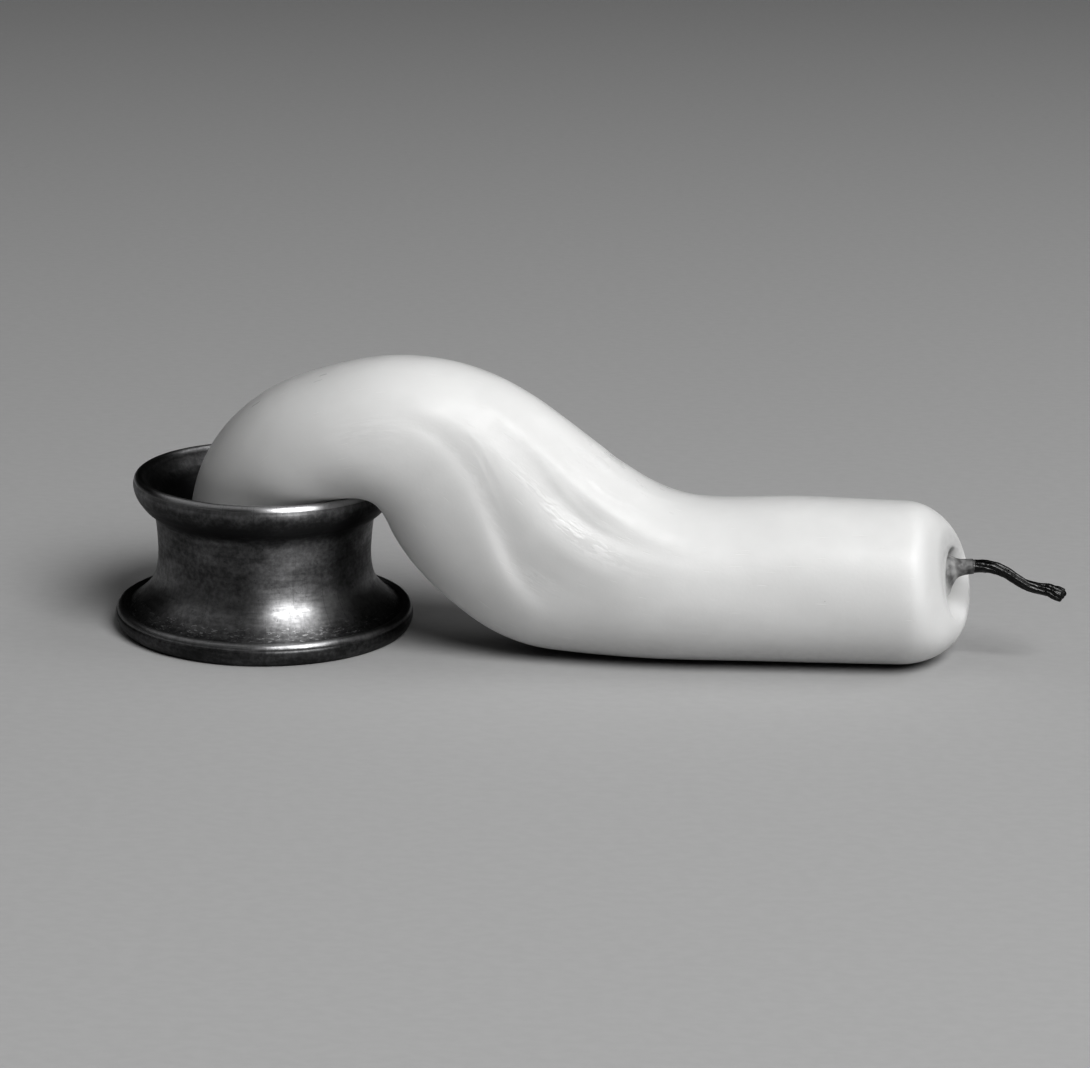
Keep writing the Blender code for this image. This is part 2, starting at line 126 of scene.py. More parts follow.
# Folds that run down the slumped stretch. Angles go round a section: 90 on the outer side of
# the bend, 180 on the near side (-Y), 270 on the inner side. Each fold is a row of stations:
# distance along the candle, angle, height (less than nothing in a crease), and how far it spreads
# towards larger and towards smaller angles.
FOLDS = (
    # deepest crease, steep on its lower side, ending in a point
    ((0.0385, 153.0, 0.0, 4.5, 6.0), (0.0430, 159.0, -0.00016, 4.2, 6.0),
     (0.0500, 171.0, -0.00022, 3.8, 8.0), (0.0550, 180.5, -0.00030, 3.4, 9.0),
     (0.0600, 192.0, -0.00050, 3.0, 7.5), (0.0630, 198.5, -0.00032, 3.2, 7.5),
     (0.0670, 205.0, 0.0, 5.0, 8.0)),
    # low ridge along that crease
    ((0.0375, 161.0, 0.0, 9.0, 4.0), (0.0430, 166.0, 0.00008, 9.0, 4.0),
     (0.0520, 182.0, 0.00012, 10.0, 4.0), (0.0600, 199.0, 0.00020, 10.0, 3.4),
     (0.0645, 208.0, 0.0, 9.0, 4.0)),
    # hollow where the crease runs out
    ((0.0600, 188.0, 0.0, 10.0, 6.0), (0.0655, 191.5, -0.00028, 12.0, 5.0),
     (0.0740, 196.0, 0.0, 12.0, 8.0)),
    # broad ridge down the middle of the slump
    ((0.0390, 148.0, 0.0, 8.0, 10.0), (0.0450, 153.5, 0.00018, 8.0, 9.0),
     (0.0520, 162.0, 0.00030, 8.0, 8.5), (0.0590, 167.5, 0.00038, 6.0, 7.5),
     (0.0660, 171.0, 0.00036, 4.5, 7.5), (0.0710, 172.5, 0.00018, 4.5, 8.0),
     (0.0760, 174.0, 0.0, 6.0, 8.0)),
    # long crease above it
    ((0.0420, 132.0, 0.0, 6.0, 6.0), (0.0500, 141.0, -0.00009, 6.0, 5.0),
     (0.0580, 147.5, -0.00020, 5.5, 5.0), (0.0670, 151.0, -0.00026, 4.5, 4.8),
     (0.0750, 152.5, -0.00018, 5.0, 5.0), (0.0840, 150.0, 0.0, 6.0, 6.0)),
    # upper ridge
    ((0.0430, 126.0, 0.0, 7.0, 6.0), (0.0500, 134.5, 0.00012, 6.0, 5.0),
     (0.0600, 139.5, 0.00016, 5.0, 4.5), (0.0680, 140.5, 0.00013, 4.5, 4.0),
     (0.0750, 141.0, 0.0, 6.0, 5.0)),
    # faint ridge near the top
    ((0.0540, 113.0, 0.0, 3.0, 3.5), (0.0630, 114.8, 0.00008, 3.2, 4.0),
     (0.0720, 113.0, 0.0, 3.0, 3.5)),
    # fainter ridge above that
    ((0.0560, 101.0, 0.0, 3.0, 4.0), (0.0640, 101.5, 0.00006, 2.8, 4.0),
     (0.0720, 101.0, 0.0, 3.0, 4.0)),
    # far side: a soft ridge
    ((0.0380, 62.0, 0.0, 12.0, 8.0), (0.0550, 40.0, 0.00025, 12.0, 8.0),
     (0.0720, 22.0, 0.0, 12.0, 8.0)),
    # far side: the crease below it
    ((0.0400, 44.0, 0.0, 8.0, 10.0), (0.0550, 20.0, -0.00030, 8.0, 10.0),
     (0.0700, 4.0, 0.0, 8.0, 10.0)),
)
ROUNDING = 0.0016               # over which the run of a fold is rounded off at its stations

# Fine lines in the skin: height, half width, and the way it runs as (distance, angle) pairs.
FINE_LINES = (
    (0.00007, 0.00030,
     ((0.0530, 138.5), (0.0570, 143.5), (0.0620, 147.0), (0.0680, 149.8), (0.0740, 151.2))),
    (0.00004, 0.00025, ((0.0455, 150.0), (0.0490, 158.0), (0.0530, 166.0))),
    (-0.00005, 0.00024, ((0.0460, 153.0), (0.0500, 163.0), (0.0545, 172.0))),
    (0.00004, 0.00025, ((0.0470, 157.0), (0.0510, 168.0), (0.0560, 178.0))),
    (0.00003, 0.00030, ((0.0620, 130.0), (0.0680, 131.5), (0.0740, 128.0))),
    (0.00003, 0.00030, ((0.0700, 113.0), (0.0760, 111.0), (0.0810, 106.0))),
)

# The burnt end: a round shoulder, cut off at a slant, with a melt pool round the wick.
SHOULDER_LENGTH = 0.00735
SHOULDER_RINGS = 30
POOL_RADIUS = 0.0051
POOL_DEPTH = 0.0024
END_YAW = math.tan(math.radians(22.0))
END_PITCH = math.tan(math.radians(11.5))
# Wax that was drawn up the wick: how far up it, and the radius there.
DRAWN_WAX = (
    (0.00530, 0.00300), (0.00580, 0.00268), (0.00630, 0.00238), (0.00670, 0.00212),
    (0.00700, 0.00187), (0.00730, 0.00158), (0.00765, 0.00132), (0.00815, 0.00113),
    (0.00885, 0.00103), (0.00980, 0.00098),
)

# The wick's free end, from just under the melt pool outwards: x, y, z of each bend.
WICK_BENDS = (
    (0.0872, -0.0111, 0.0114),
    (0.0893, -0.0112, 0.0126),
    (0.0915, -0.0113, 0.0131),
    (0.0945, -0.0114, 0.0133),
    (0.0964, -0.0115, 0.0129),
    (0.0982, -0.0116, 0.0120),
    (0.1005, -0.0117, 0.0108),
    (0.1030, -0.0118, 0.01035),
    (0.1047, -0.0119, 0.0098),
)
# How thick it is beyond the last section of the candle: distance, share of the wick's radius.
WICK_GIRTH = (
    (0.0000, 1.00), (0.0094, 0.98), (0.0118, 0.93), (0.0139, 0.81), (0.0157, 0.75), (0.0174, 0.77),
    (0.0191, 0.80), (0.0201, 0.90), (0.0211, 1.00), (0.0222, 0.98),
)
# Loose strand ends at the tip: start, bend and end away from the tip (along, side, up), radius.
LOOSE_STRANDS = (
    (0.00044, ((-0.0026, -0.0002, 0.0003), (-0.0010, -0.0003, 0.0004), (0.0004, -0.0002, 0.0002))),
    (0.00038, ((-0.0024, -0.0004, -0.0003), (-0.0010, -0.0006, -0.0005), (0.0001, -0.0005, -0.0005))),
    (0.00036, ((-0.0022, 0.0004, -0.0001), (-0.0009, 0.0005, -0.0002), (0.0002, 0.0004, -0.0003))),
    (0.00030, ((-0.0016, -0.0006, 0.0001), (-0.0006, -0.0008, 0.0000), (0.0002, -0.0006, -0.0001))),
)

# The holder: a socket that opens into a trumpet mouth, a rolled lip with a band under it, a
# drawn-in waist and a foot with a raised rim.
CUP_FLOOR = 0.0016
SOCKET_RADIUS = 0.0116
SOCKET_CORNER = 0.0006
MOUTH_BOTTOM = 0.0105
MOUTH_WIDTH = 0.0074
MOUTH_HEIGHT = 0.0096
LIP_HALF_WIDTH = 0.00080
LIP_HALF_HEIGHT = 0.00110
LIP_RADIUS = 0.01655
LIP_CENTRE_HEIGHT = holder_high.z - LIP_HALF_HEIGHT
LIP_TURN_END = 18.0             # where the rolled lip passes into the outside below, in degrees
LIP_PRESS = 0.00002             # how far wax inside the lip is pushed back at a time
LIP_PRESSES = 150
OUTSIDE = (                     # radius and height, with a shallow score line under the lip
    (0.01731, 0.02004), (0.01732, 0.01998), (0.01729, 0.01992), (0.01733, 0.01986),
    (0.01738, 0.01968), (0.01740, 0.01938), (0.01737, 0.01902), (0.01728, 0.01860),
    (0.01711, 0.01815), (0.01688, 0.01768), (0.01652, 0.01712), (0.01592, 0.01638),
    (0.01512, 0.01568), (0.01460, 0.01495), (0.01442, 0.01400), (0.01428, 0.01240),
    (0.01420, 0.01080), (0.01421, 0.00950), (0.01434, 0.00820), (0.01464, 0.00690),
    (0.01510, 0.00592), (0.01575, 0.00506), (0.01658, 0.00420), (0.01745, 0.00348),
    (0.01812, 0.00302), (0.01845, 0.00286),
)
FOOT_RADIUS = holder_high.x
FOOT_OUTLINE = (                # inwards from the foot's radius, height: a rim, a step and the side
    (0.00132, 0.00288), (0.00115, 0.00302), (0.00090, 0.00312), (0.00060, 0.00305),
    (0.00032, 0.00284), (0.00016, 0.00256), (0.00013, 0.00238), (0.00017, 0.00226),
    (0.00009, 0.00212), (0.00001, 0.00176), (0.00004, 0.00130), (0.00020, 0.00080),
    (0.00052, 0.00030), (0.00082, 0.00006), (0.00110, 0.00000),
)

# The camera looks a little down on the near side.
CAMERA_AIM = (0.03725, 0.0, 0.01312)
CAMERA_DISTANCE = 0.4788
CAMERA_PITCH = math.radians(16.14)
CAMERA_ROLL = math.radians(1.22)
CAMERA_LENS = 118.9


# ---------------- smooth curves
class SmoothCurve:
    """A natural cubic spline through rows of values, by distance along their first three columns."""

    def __init__(self, rows):
        self.rows = np.array(rows, float)
        steps = np.linalg.norm(np.diff(self.rows[:, :3], axis=0), axis=1)
        self.at = np.concatenate(([0.0], np.cumsum(steps)))
        self.length = float(self.at[-1])
        count = len(self.at)
        system = np.eye(count)
        right = np.zeros_like(self.rows)
        for i in range(1, count - 1):
            before, after = steps[i - 1], steps[i]
            system[i, i - 1:i + 2] = before, 2.0 * (before + after), after
            rise_after = (self.rows[i + 1] - self.rows[i]) / after
            rise_before = (self.rows[i] - self.rows[i - 1]) / before
            right[i] = 6.0 * (rise_after - rise_before)
        self.bend = np.linalg.solve(system, right)

    def _span(self, distances):
        s = np.asarray(distances, float)
        i = np.clip(np.searchsorted(self.at, s, side="right") - 1, 0, len(self.at) - 2)
        h = (self.at[i + 1] - self.at[i])[:, None]
        return i, h, (self.at[i + 1] - s)[:, None], (s - self.at[i])[:, None]

    def values(self, distances):
        i, h, a, b = self._span(distances)
        curve = (self.bend[i] * a**3 + self.bend[i + 1] * b**3) / (6.0 * h)
        chord = (self.rows[i] / h - self.bend[i] * h / 6.0) * a
        return curve + chord + (self.rows[i + 1] / h - self.bend[i + 1] * h / 6.0) * b

    def slopes(self, distances):
        i, h, a, b = self._span(distances)
        curve = (self.bend[i + 1] * b**2 - self.bend[i] * a**2) / (2.0 * h)
        chord = (self.rows[i + 1] - self.rows[i]) / h
        return curve + chord - (self.bend[i + 1] - self.bend[i]) * h / 6.0


def ease(t):
    """A smooth step from 0 to 1."""
    t = np.clip(t, 0.0, 1.0)
    return t * t * (3.0 - 2.0 * t)


def bell(offset, spread):
    """A smooth bump that is 1 in its middle."""
    return np.exp(-0.5 * (offset / spread) ** 2)


def degrees_from(degrees, angle):
    """Angles as turns of -180 to 180 degrees from another angle."""
    return (degrees - angle + 180.0) % 360.0 - 180.0


def arc(centre_r, centre_z, half_width, half_height, start, end, count):
    """Points of an elliptical arc as radius and height, angles in degrees from +r to +z."""
    angles = np.radians(np.linspace(start, end, count))
    return [(centre_r + half_width * math.cos(a), centre_z + half_height * math.sin(a)) for a in angles]


def unit(vectors):
    return vectors / np.linalg.norm(vectors, axis=-1, keepdims=True)


def frames_along(curve, distances):
    """Values, direction, sideways and outward unit vectors of a curve at each distance."""
    values = curve.values(distances)
    along = unit(curve.slopes(distances)[:, :3])
    side = unit(np.array((0.0, 1.0, 0.0)) - along[:, 1:2] * along)
    return values, along, side, np.cross(along, side)


def spokes_about(turn, side, outward):
    """Unit spokes across a line, one row for each of its places and one column for each angle."""
    turn = turn[None, :, None]
    return np.cos(turn) * side[:, None, :] + np.sin(turn) * outward[:, None, :]


def noise_at(points, scale, offset=0.0):
    """Smooth noise from -1 to 1 at each point of an array of points."""
    flat = points.reshape(-1, 3) * scale + offset
    values = np.fromiter((noise.noise(Vector(p)) for p in flat), float, len(flat))
    return values.reshape(points.shape[:-1])


# ---------------- the candle's form
CANDLE_LINE = SmoothCurve(SECTIONS)
WICK_LINE = SmoothCurve([tuple(CANDLE_LINE.rows[-1, :3])] + list(WICK_BENDS))


def along_stations(s, places, values):
    """Values at distances down, joined from station to station and rounded off there."""
    shifts = np.linspace(-ROUNDING, ROUNDING, 9)
    return np.mean([np.interp(s + shift, places, values) for shift in shifts], axis=0)


def fold_relief(s, degrees):
    """Height of the folds over the smooth form, for distances down and angles across."""
    total = np.zeros((len(s), len(degrees)))
    for stations in FOLDS:
        places, angles, heights, spreads_up, spreads_down = zip(*stations)
        angle = along_stations(s, places, angles)[:, None]
        offset = degrees_from(degrees[None, :], angle)
        spread_up = along_stations(s, places, spreads_up)[:, None]
        spread_down = along_stations(s, places, spreads_down)[:, None]
        spread = np.where(offset > 0.0, spread_up, spread_down)
        total += along_stations(s, places, heights)[:, None] * bell(offset, spread)
    return total


def line_relief(s, degrees):
    """Height of the fine lines that the skin drew out along the folds."""
    total = np.zeros((len(s), len(degrees)))
    for height, half_width, way in FINE_LINES:
        places, angles = zip(*way)
        angle = along_stations(s, places, angles)[:, None]
        across = np.radians(degrees_from(degrees[None, :], angle)) * CANDLE_RADIUS
        fade = 0.3 * (places[-1] - places[0])
        strength = ease((s - places[0]) / fade) * ease((places[-1] - s) / fade)
        total += height * strength[:, None] * bell(across, half_width)
    return total


def skin_points(s, degrees, fold_depth):
    """The candle's skin, for distances down and angles across."""
    values, _, side, outward = frames_along(CANDLE_LINE, s)
    angle = np.radians(degrees)
    outer, inner, across = values[:, 3:4], values[:, 4:5], values[:, 5:6]
    thickness = np.where(np.sin(angle)[None, :] > 0.0, outer, inner)
    up = (thickness * np.sin(angle))[..., None] * outward[:, None, :]
    spoke = up + (across * np.cos(angle))[..., None] * side[:, None, :]
    relief = fold_depth * (fold_relief(s, degrees) + line_relief(s, degrees))
    return values[:, None, :3] + spoke + relief[..., None] * unit(spoke)


def end_points(beyond, share, slant, degrees):
    """One ring of the burnt end, a distance beyond the last section, at shares of its size and slant."""
    values, along, side, outward = frames_along(CANDLE_LINE, [CANDLE_LINE.length])
    angle = np.radians(degrees)
    outer, inner, width = values[0, 3:]
    across = share * width * np.cos(angle)
    up = share * np.where(np.sin(angle) > 0.0, outer, inner) * np.sin(angle)
    shift = beyond + slant * (END_YAW * across - END_PITCH * up)
    return values[0, :3] + shift[:, None] * along + across[:, None] * side + up[:, None] * outward


def ring_points(curve, distance, radius, degrees):
    """One round ring about a curve."""
    values, _, side, outward = frames_along(curve, [distance])
    return values[0, :3] + radius * spokes_about(np.radians(degrees), side, outward)[0]


def foot_rings(degrees, bore_radius):
    """The flat foot from the wick's bore outwards, and its rounded edge."""
    values, along, side, outward = frames_along(CANDLE_LINE, [0.0])
    radius = values[0, 3]
    profile = [(r, 0.0) for r in np.linspace(bore_radius, radius - FOOT_ROUNDING, 8)]
    for turn in np.linspace(15, 75, 5):
        t = math.radians(turn)
        profile.append((radius - FOOT_ROUNDING * (1 - math.sin(t)), FOOT_ROUNDING * (1 - math.cos(t))))
    spokes = spokes_about(np.radians(degrees), side, outward)[0]
    return [values[0, :3] + rise * along + r * spokes for r, rise in profile]


def shoulder_and_pool_rings(degrees):
    """The round shoulder up to the pool's rim, and the pool down to the wax drawn up the wick."""
    rings = []
    for turn in np.linspace(90 / SHOULDER_RINGS, 90, SHOULDER_RINGS):
        t = math.radians(turn)
        radius = POOL_RADIUS + (CANDLE_RADIUS - POOL_RADIUS) * max(math.cos(t), 0.0) ** 0.9
        beyond = SHOULDER_LENGTH * math.sin(t)
        rings.append(end_points(beyond, radius / CANDLE_RADIUS, math.sin(t) ** 1.5, degrees))
    first_drawn = DRAWN_WAX[0]
    meeting = ring_points(WICK_LINE, *first_drawn, degrees)
    for u in np.linspace(0.0, 1.0, 16)[1:-1]:
        radius = POOL_RADIUS + (first_drawn[1] - POOL_RADIUS) * u
        drop = POOL_DEPTH * 0.5 * (1.0 - math.cos(math.pi * u))
        bowl = end_points(SHOULDER_LENGTH - drop, radius / CANDLE_RADIUS, 1.0 - u, degrees)
        rings.append(bowl + ease((u - 0.7) / 0.3) * (meeting - bowl))
    drawn = SmoothCurve([(up, 0.0, 0.0, radius) for up, radius in DRAWN_WAX])
    for up in np.linspace(0.0, drawn.length, 16):
        row = drawn.values([up])[0]
        rings.append(ring_points(WICK_LINE, row[0], row[3], degrees))
    return rings


def bore_rings(degrees, bore_radius):
    """The wick's bore, from the tip of the drawn wax back to the foot."""
    rings = []
    for distance in np.linspace(DRAWN_WAX[-1][0] - 0.0004, 0.0, 8, endpoint=False):
        rings.append(ring_points(WICK_LINE, distance, bore_radius, degrees))
    for distance in np.linspace(CANDLE_LINE.length, 0.0, 40, endpoint=False):
        rings.append(ring_points(CANDLE_LINE, distance, bore_radius, degrees))
    return rings


def press_on_lip(points, outward, gap):
    """Wax that would lie inside the holder's lip is pushed back along its normal until it clears it."""
    for _ in range(LIP_PRESSES):
        radius = np.hypot(points[..., 0], points[..., 1])
        across = (radius - LIP_RADIUS) / (LIP_HALF_WIDTH + gap)
        up = (points[..., 2] - LIP_CENTRE_HEIGHT) / (LIP_HALF_HEIGHT + gap)
        inside = across**2 + up**2 < 1.0
        if not inside.any():
            break
        points[inside] -= LIP_PRESS * outward[inside]
    return points


def grid_normals(points):
    """Outward unit normals of a grid of points, rings down and columns round."""
    down = np.gradient(points, axis=0)
    round_ = np.roll(points, -1, axis=1) - np.roll(points, 1, axis=1)
    return unit(np.cross(round_, down) + 1e-12)


# ---------------- mesh helpers
def linked(name, data):
    """An object for a mesh, light or camera, in the scene."""
    made = bpy.data.objects.new(name, data)
    bpy.context.scene.collection.objects.link(made)
    return made


def mesh_object(name, points, faces, material):
    mesh = bpy.data.meshes.new(name)
    mesh.from_pydata(points.reshape(-1, 3).tolist(), [], faces.tolist())
    mesh.materials.append(material)
    mesh.shade_smooth()
    return linked(name, mesh)


def grid_faces(ring_count, column_count, closed):
    """Faces between rings of columns. If closed, the last ring is joined to the first."""
    rings = np.arange(ring_count if closed else ring_count - 1)
    ring, column = np.meshgrid(rings, np.arange(column_count), indexing="ij")
    ring, column = ring.ravel(), column.ravel()
    next_ring, next_column = (ring + 1) % ring_count, (column + 1) % column_count
    corners = ((ring, column), (ring, next_column), (next_ring, next_column), (next_ring, column))
    return np.stack([r * column_count + c for r, c in corners], axis=1)


def lay_run_map(mesh, along, around, column_count, turn_length):
    """A UV map in metres: U round the piece, V along it, with its seam on the first column."""
    layer = mesh.uv_layers.new(name="run")
    loops = np.zeros(len(mesh.loops), np.int32)
    mesh.loops.foreach_get("vertex_index", loops)
    corners = loops.reshape(-1, 4)
    columns = corners % column_count
    at_end = (columns == column_count - 1).any(axis=1)
    u = around[columns]
    u[(columns == 0) & at_end[:, None]] += turn_length
    v = along[corners // column_count]
    layer.data.foreach_set("uv", np.stack((u, v), axis=-1).ravel().astype(np.float32))


def lay_attribute(mesh, name, values):
    attribute = mesh.attributes.new(name, "FLOAT", "POINT")
    attribute.data.foreach_set("value", values.ravel().astype(np.float32))


# ---------------- shader helpers
class Finish:
    """A material on one Principled shader, with short calls that add and join its texture nodes."""

    def __init__(self, name):
        self.material = bpy.data.materials.new(name)
        self.material.use_nodes = True
        self.tree = self.material.node_tree
        self.shader = self.tree.nodes["Principled BSDF"]

    def feed(self, socket, value):
        if isinstance(value, bpy.types.NodeSocket):
            self.tree.links.new(value, socket)
        else:
            socket.default_value = value

    def surface(self, **inputs):
        for name, value in inputs.items():
            self.feed(self.shader.inputs[name.replace("_", " ")], value)

    def node(self, kind, settings=None, inputs=None):
        made = self.tree.nodes.new("ShaderNode" + kind)
        for name, value in (settings or {}).items():
            setattr(made, name, value)
        for name, value in (inputs or {}).items():
            self.feed(made.inputs[name], value)
        return made

    def maths(self, operation, first, second=0.0, clamp=False):
        settings = {"operation": operation, "use_clamp": clamp}
        return self.node("Math", settings, {0: first, 1: second}).outputs[0]

    def product(self, *factors):
        return functools.reduce(lambda first, second: self.maths("MULTIPLY", first, second), factors)

    def total(self, *terms):
        return functools.reduce(lambda first, second: self.maths("ADD", first, second), terms)

    def stretched(self, coordinates, *scale):
        return self.node("Mapping", None, {"Vector": coordinates, "Scale": scale}).outputs[0]

    def grain(self, coordinates, scale, detail=2.0, roughness=0.5, distortion=0.0):
        inputs = {"Vector": coordinates, "Scale": scale, "Detail": detail,
                  "Roughness": roughness, "Distortion": distortion}
        return self.node("TexNoise", None, inputs).outputs[0]

    def cells(self, coordinates, scale):
        inputs = {"Vector": coordinates, "Scale": scale}
        return self.node("TexVoronoi", None, inputs).outputs["Distance"]

    def remap(self, value, low, high, to_low=0.0, to_high=1.0):
        inputs = {"Value": value, "From Min": low, "From Max": high,
                  "To Min": to_low, "To Max": to_high}
        return self.node("MapRange", {"interpolation_type": "SMOOTHSTEP"}, inputs).outputs[0]

    def blend(self, factor, first, second):
        inputs = {0: factor, 6: first, 7: second}
        return self.node("Mix", {"data_type": "RGBA"}, inputs).outputs[2]

    def attribute(self, name):
        return self.node("Attribute", {"attribute_name": name}).outputs["Fac"]

    def relief(self, *layers):
        """Bump from layers of grain, each with its height in metres."""
        height = self.total(*(self.product(grain, metres) for grain, metres in layers))
        bump = self.node("Bump", None, {"Strength": 1.0, "Distance": 1.0, "Height": height})
        self.surface(Normal=bump.outputs[0])


def grey(value):
    return (value, value, value, 1.0)


def opaque(colour):
    return (*colour, 1.0)


def scaled(colour, share):
    return (*(share * c for c in colour), 1.0)


# ---------------- finishes
def wax_finish(settings):
    """Translucent white wax: soft gloss, drag lines along the candle, flaked patches whose whitening
    partly paints glints, specks, soot, and painted shade in the pool and next to the table.
    """
    wax = Finish("white_candle_wax")
    run = wax.node("UVMap", {"uv_map": "run"}).outputs[0]
    place = wax.node("TexCoord").outputs["Object"]
    # this attribute holds real soot at the wick and painted shade over the melt pool and next to the
    # table
    soot_and_shade = wax.attribute("soot_and_shade")
    flaked_and_glinting = wax.attribute("flaked_and_glinting")
    drawn = wax.attribute("drawn")

    bloom = wax.remap(wax.grain(place, 160.0, 3.0), 0.35, 0.75)
    clean = wax.blend(bloom, scaled(settings.colour, 0.965), opaque(settings.colour))
    speck_here = wax.maths("GREATER_THAN", wax.grain(run, 300.0, 0.0), 0.62)
    speck = wax.product(wax.remap(wax.cells(run, 210.0), 0.035, 0.016), speck_here)
    specked = wax.blend(speck, clean, grey(0.28))
    uneven = wax.remap(wax.grain(place, 1100.0, 3.0), 0.3, 0.7, 0.82, 1.10)
    soot_and_shade_cover = wax.maths("MULTIPLY", soot_and_shade, uneven, True)
    sooted_and_shaded = wax.blend(soot_and_shade_cover, specked, opaque(settings.soot_and_shade_colour))

    drag = wax.grain(wax.stretched(run, 1500.0, 70.0, 1.0), 1.0, 3.0, 0.55)
    pores = wax.grain(place, 2600.0, 2.0)
    plate_grain = wax.grain(wax.stretched(run, 1900.0, 400.0, 1.0), 1.0, 3.0, 0.55, 0.3)
    plates = wax.product(wax.remap(plate_grain, 0.44, 0.62), flaked_and_glinting)
    scratch_grain = wax.grain(wax.stretched(run, 5200.0, 260.0, 1.0), 1.0, 1.0)
    scratches = wax.remap(scratch_grain, 0.70, 0.80)
    # whitened scratches and flakes; on the flaked patches this whitening partly paints glints where the
    # gloss catches the light
    chalk_and_painted_glints = wax.maths("MAXIMUM", wax.product(scratches, 0.8), plates)
    skin = wax.blend(wax.product(chalk_and_painted_glints, 0.45), sooted_and_shaded, grey(0.93))
    dragged = wax.product(drawn, drag)

    dull = wax.remap(wax.grain(place, 420.0, 4.0), 0.3, 0.7, -0.05, 0.07)
    polish = wax.product(wax.maths("MAXIMUM", flaked_and_glinting, dragged), 0.22)
    wax.surface(
        Base_Color=skin,
        Roughness=wax.maths("SUBTRACT", wax.total(dull, settings.roughness), polish),
        IOR=1.44,
        Specular_IOR_Level=0.35,
        Subsurface_Weight=wax.maths("SUBTRACT", 1.0, wax.attribute("thin"), True),
        Subsurface_Radius=(1.0, 1.0, 1.0),
        Subsurface_Scale=settings.light_depth,
    )
    wax.relief((dragged, 0.00003), (pores, 0.000012), (plates, 0.00003), (scratches, -0.000025))
    return wax.material


def char_finish(settings):
    """Cotton soaked with grey wax at its root, and brittle glossy char beyond."""
    char = Finish("charred_cotton")
    place = char.node("TexCoord").outputs["Object"]
    fraying = char.remap(char.grain(place, 1500.0, 3.0), 0.3, 0.7, -0.25, 0.25)
    black = char.remap(char.total(char.attribute("burnt"), fraying), 0.20, 0.75)
    fibres = char.grain(char.stretched(place, 500.0, 6500.0, 6500.0), 1.0, 3.0, 0.6)
    soaked = char.blend(char.remap(fibres, 0.35, 0.7), opaque(settings.soaked_colour),
                        scaled(settings.soaked_colour, 0.72))
    charred = char.blend(char.remap(char.grain(place, 1800.0, 4.0), 0.45, 0.8),
                         opaque(settings.char_colour), scaled(settings.char_colour, 2.6))
    flecks = char.remap(char.grain(place, 2600.0, 2.0), 0.66, 0.74)
    burnt_colour = char.blend(char.product(char.attribute("crusted"), flecks), charred, grey(0.22))
    char.surface(
        Base_Color=char.blend(black, soaked, burnt_colour),
        Roughness=char.remap(char.grain(place, 1500.0, 3.0), 0.35, 0.7, 0.20, 0.42),
        IOR=1.45,
        Coat_Weight=0.25,
        Coat_Roughness=0.16,
    )
    char.relief((char.grain(place, 3200.0, 3.0, 0.55), 0.00003), (fibres, 0.00003))
    return char.material


def pewter_finish(settings):
    """Turned pewter gone dark, burnished on its lip and foot, with stains, scratches and tool marks."""
    metal = Finish("aged_pewter")
    place = metal.node("TexCoord").outputs["Object"]
    x, y, z = metal.node("SeparateXYZ", None, {0: place}).outputs
    radius = metal.maths("SQRT", metal.total(metal.product(x, x), metal.product(y, y)))
    turn = metal.maths("ARCTAN2", y, x)
    lathe = metal.node("CombineXYZ", None, {0: radius, 2: z}).outputs[0]
    wrapped = metal.node("CombineXYZ", None, {0: turn, 1: z, 2: radius}).outputs[0]

    rings = metal.grain(lathe, 4200.0, 2.0, 0.6)
    broken_rings = metal.grain(metal.stretched(wrapped, 2.5, 3200.0, 3200.0), 1.0, 3.0, 0.6)
    stain = metal.grain(metal.stretched(wrapped, 2.2, 300.0, 300.0), 1.0, 3.0, 0.6)
    mottle = metal.grain(place, 1500.0, 4.0, 0.65)
    clouds = metal.grain(place, 180.0, 2.0, 0.5)
    runs = metal.grain(metal.stretched(wrapped, 140.0, 90.0, 90.0), 1.0, 1.0)
    pits = metal.remap(metal.cells(place, 1500.0), 0.16, 0.07)
    dash_grain = metal.grain(metal.stretched(wrapped, 22.0, 2500.0, 5200.0), 1.0, 2.0, 0.6, 0.8)

    tarnish, bare = opaque(settings.tarnish_colour), opaque(settings.bare_colour)
    bright = metal.remap(metal.total(
        metal.attribute("worn"),
        metal.remap(stain, 0.30, 0.70, -0.09, 0.09),
        metal.remap(mottle, 0.3, 0.7, -0.07, 0.07),
        metal.remap(clouds, 0.3, 0.7, -0.03, 0.03),
    ), 0.0, 1.0)
    run_down = metal.product(metal.remap(runs, 0.66, 0.76), 0.30)
    base = metal.blend(run_down, metal.blend(bright, tarnish, bare), tarnish)
    ledge = metal.product(                      # the dashes lie between the flare and the rim
        metal.remap(radius, 0.0158, 0.0164),
        metal.remap(radius, 0.0187, 0.0184),
        metal.remap(z, 0.0046, 0.0040),
    )
    dashes = metal.product(metal.remap(dash_grain, 0.58, 0.66), ledge, 0.65)
    pitted = metal.blend(metal.product(pits, 0.3), metal.blend(dashes, base, bare), grey(0.02))

    smooth = metal.remap(bright, 0.0, 1.0, settings.roughness + 0.07, settings.roughness - 0.04)
    rough = metal.total(smooth, metal.remap(broken_rings, 0.3, 0.7, -0.05, 0.07))
    around = metal.node("Tangent", {"direction_type": "RADIAL", "axis": "Z"}).outputs[0]
    metal.surface(Base_Color=pitted, Metallic=1.0, Roughness=rough, Anisotropic=0.70,
                  Anisotropic_Rotation=0.25, Tangent=around)
    metal.relief((rings, 0.000004), (broken_rings, 0.000006), (mottle, 0.000008), (pits, -0.000006))
    return metal.material


def floor_finish(settings):
    """Plain pale matt ground with a faint grain."""
    ground = Finish("pale_ground")
    place = ground.stretched(ground.node("TexCoord").outputs["Object"], 500.0, 900.0, 500.0)
    colour = ground.blend(ground.remap(ground.grain(place, 1.0, 3.0), 0.3, 0.7),
                          scaled(settings.floor_colour, 0.97), opaque(settings.floor_colour))
    ground.surface(Base_Color=colour, Roughness=0.9)
    return ground.material


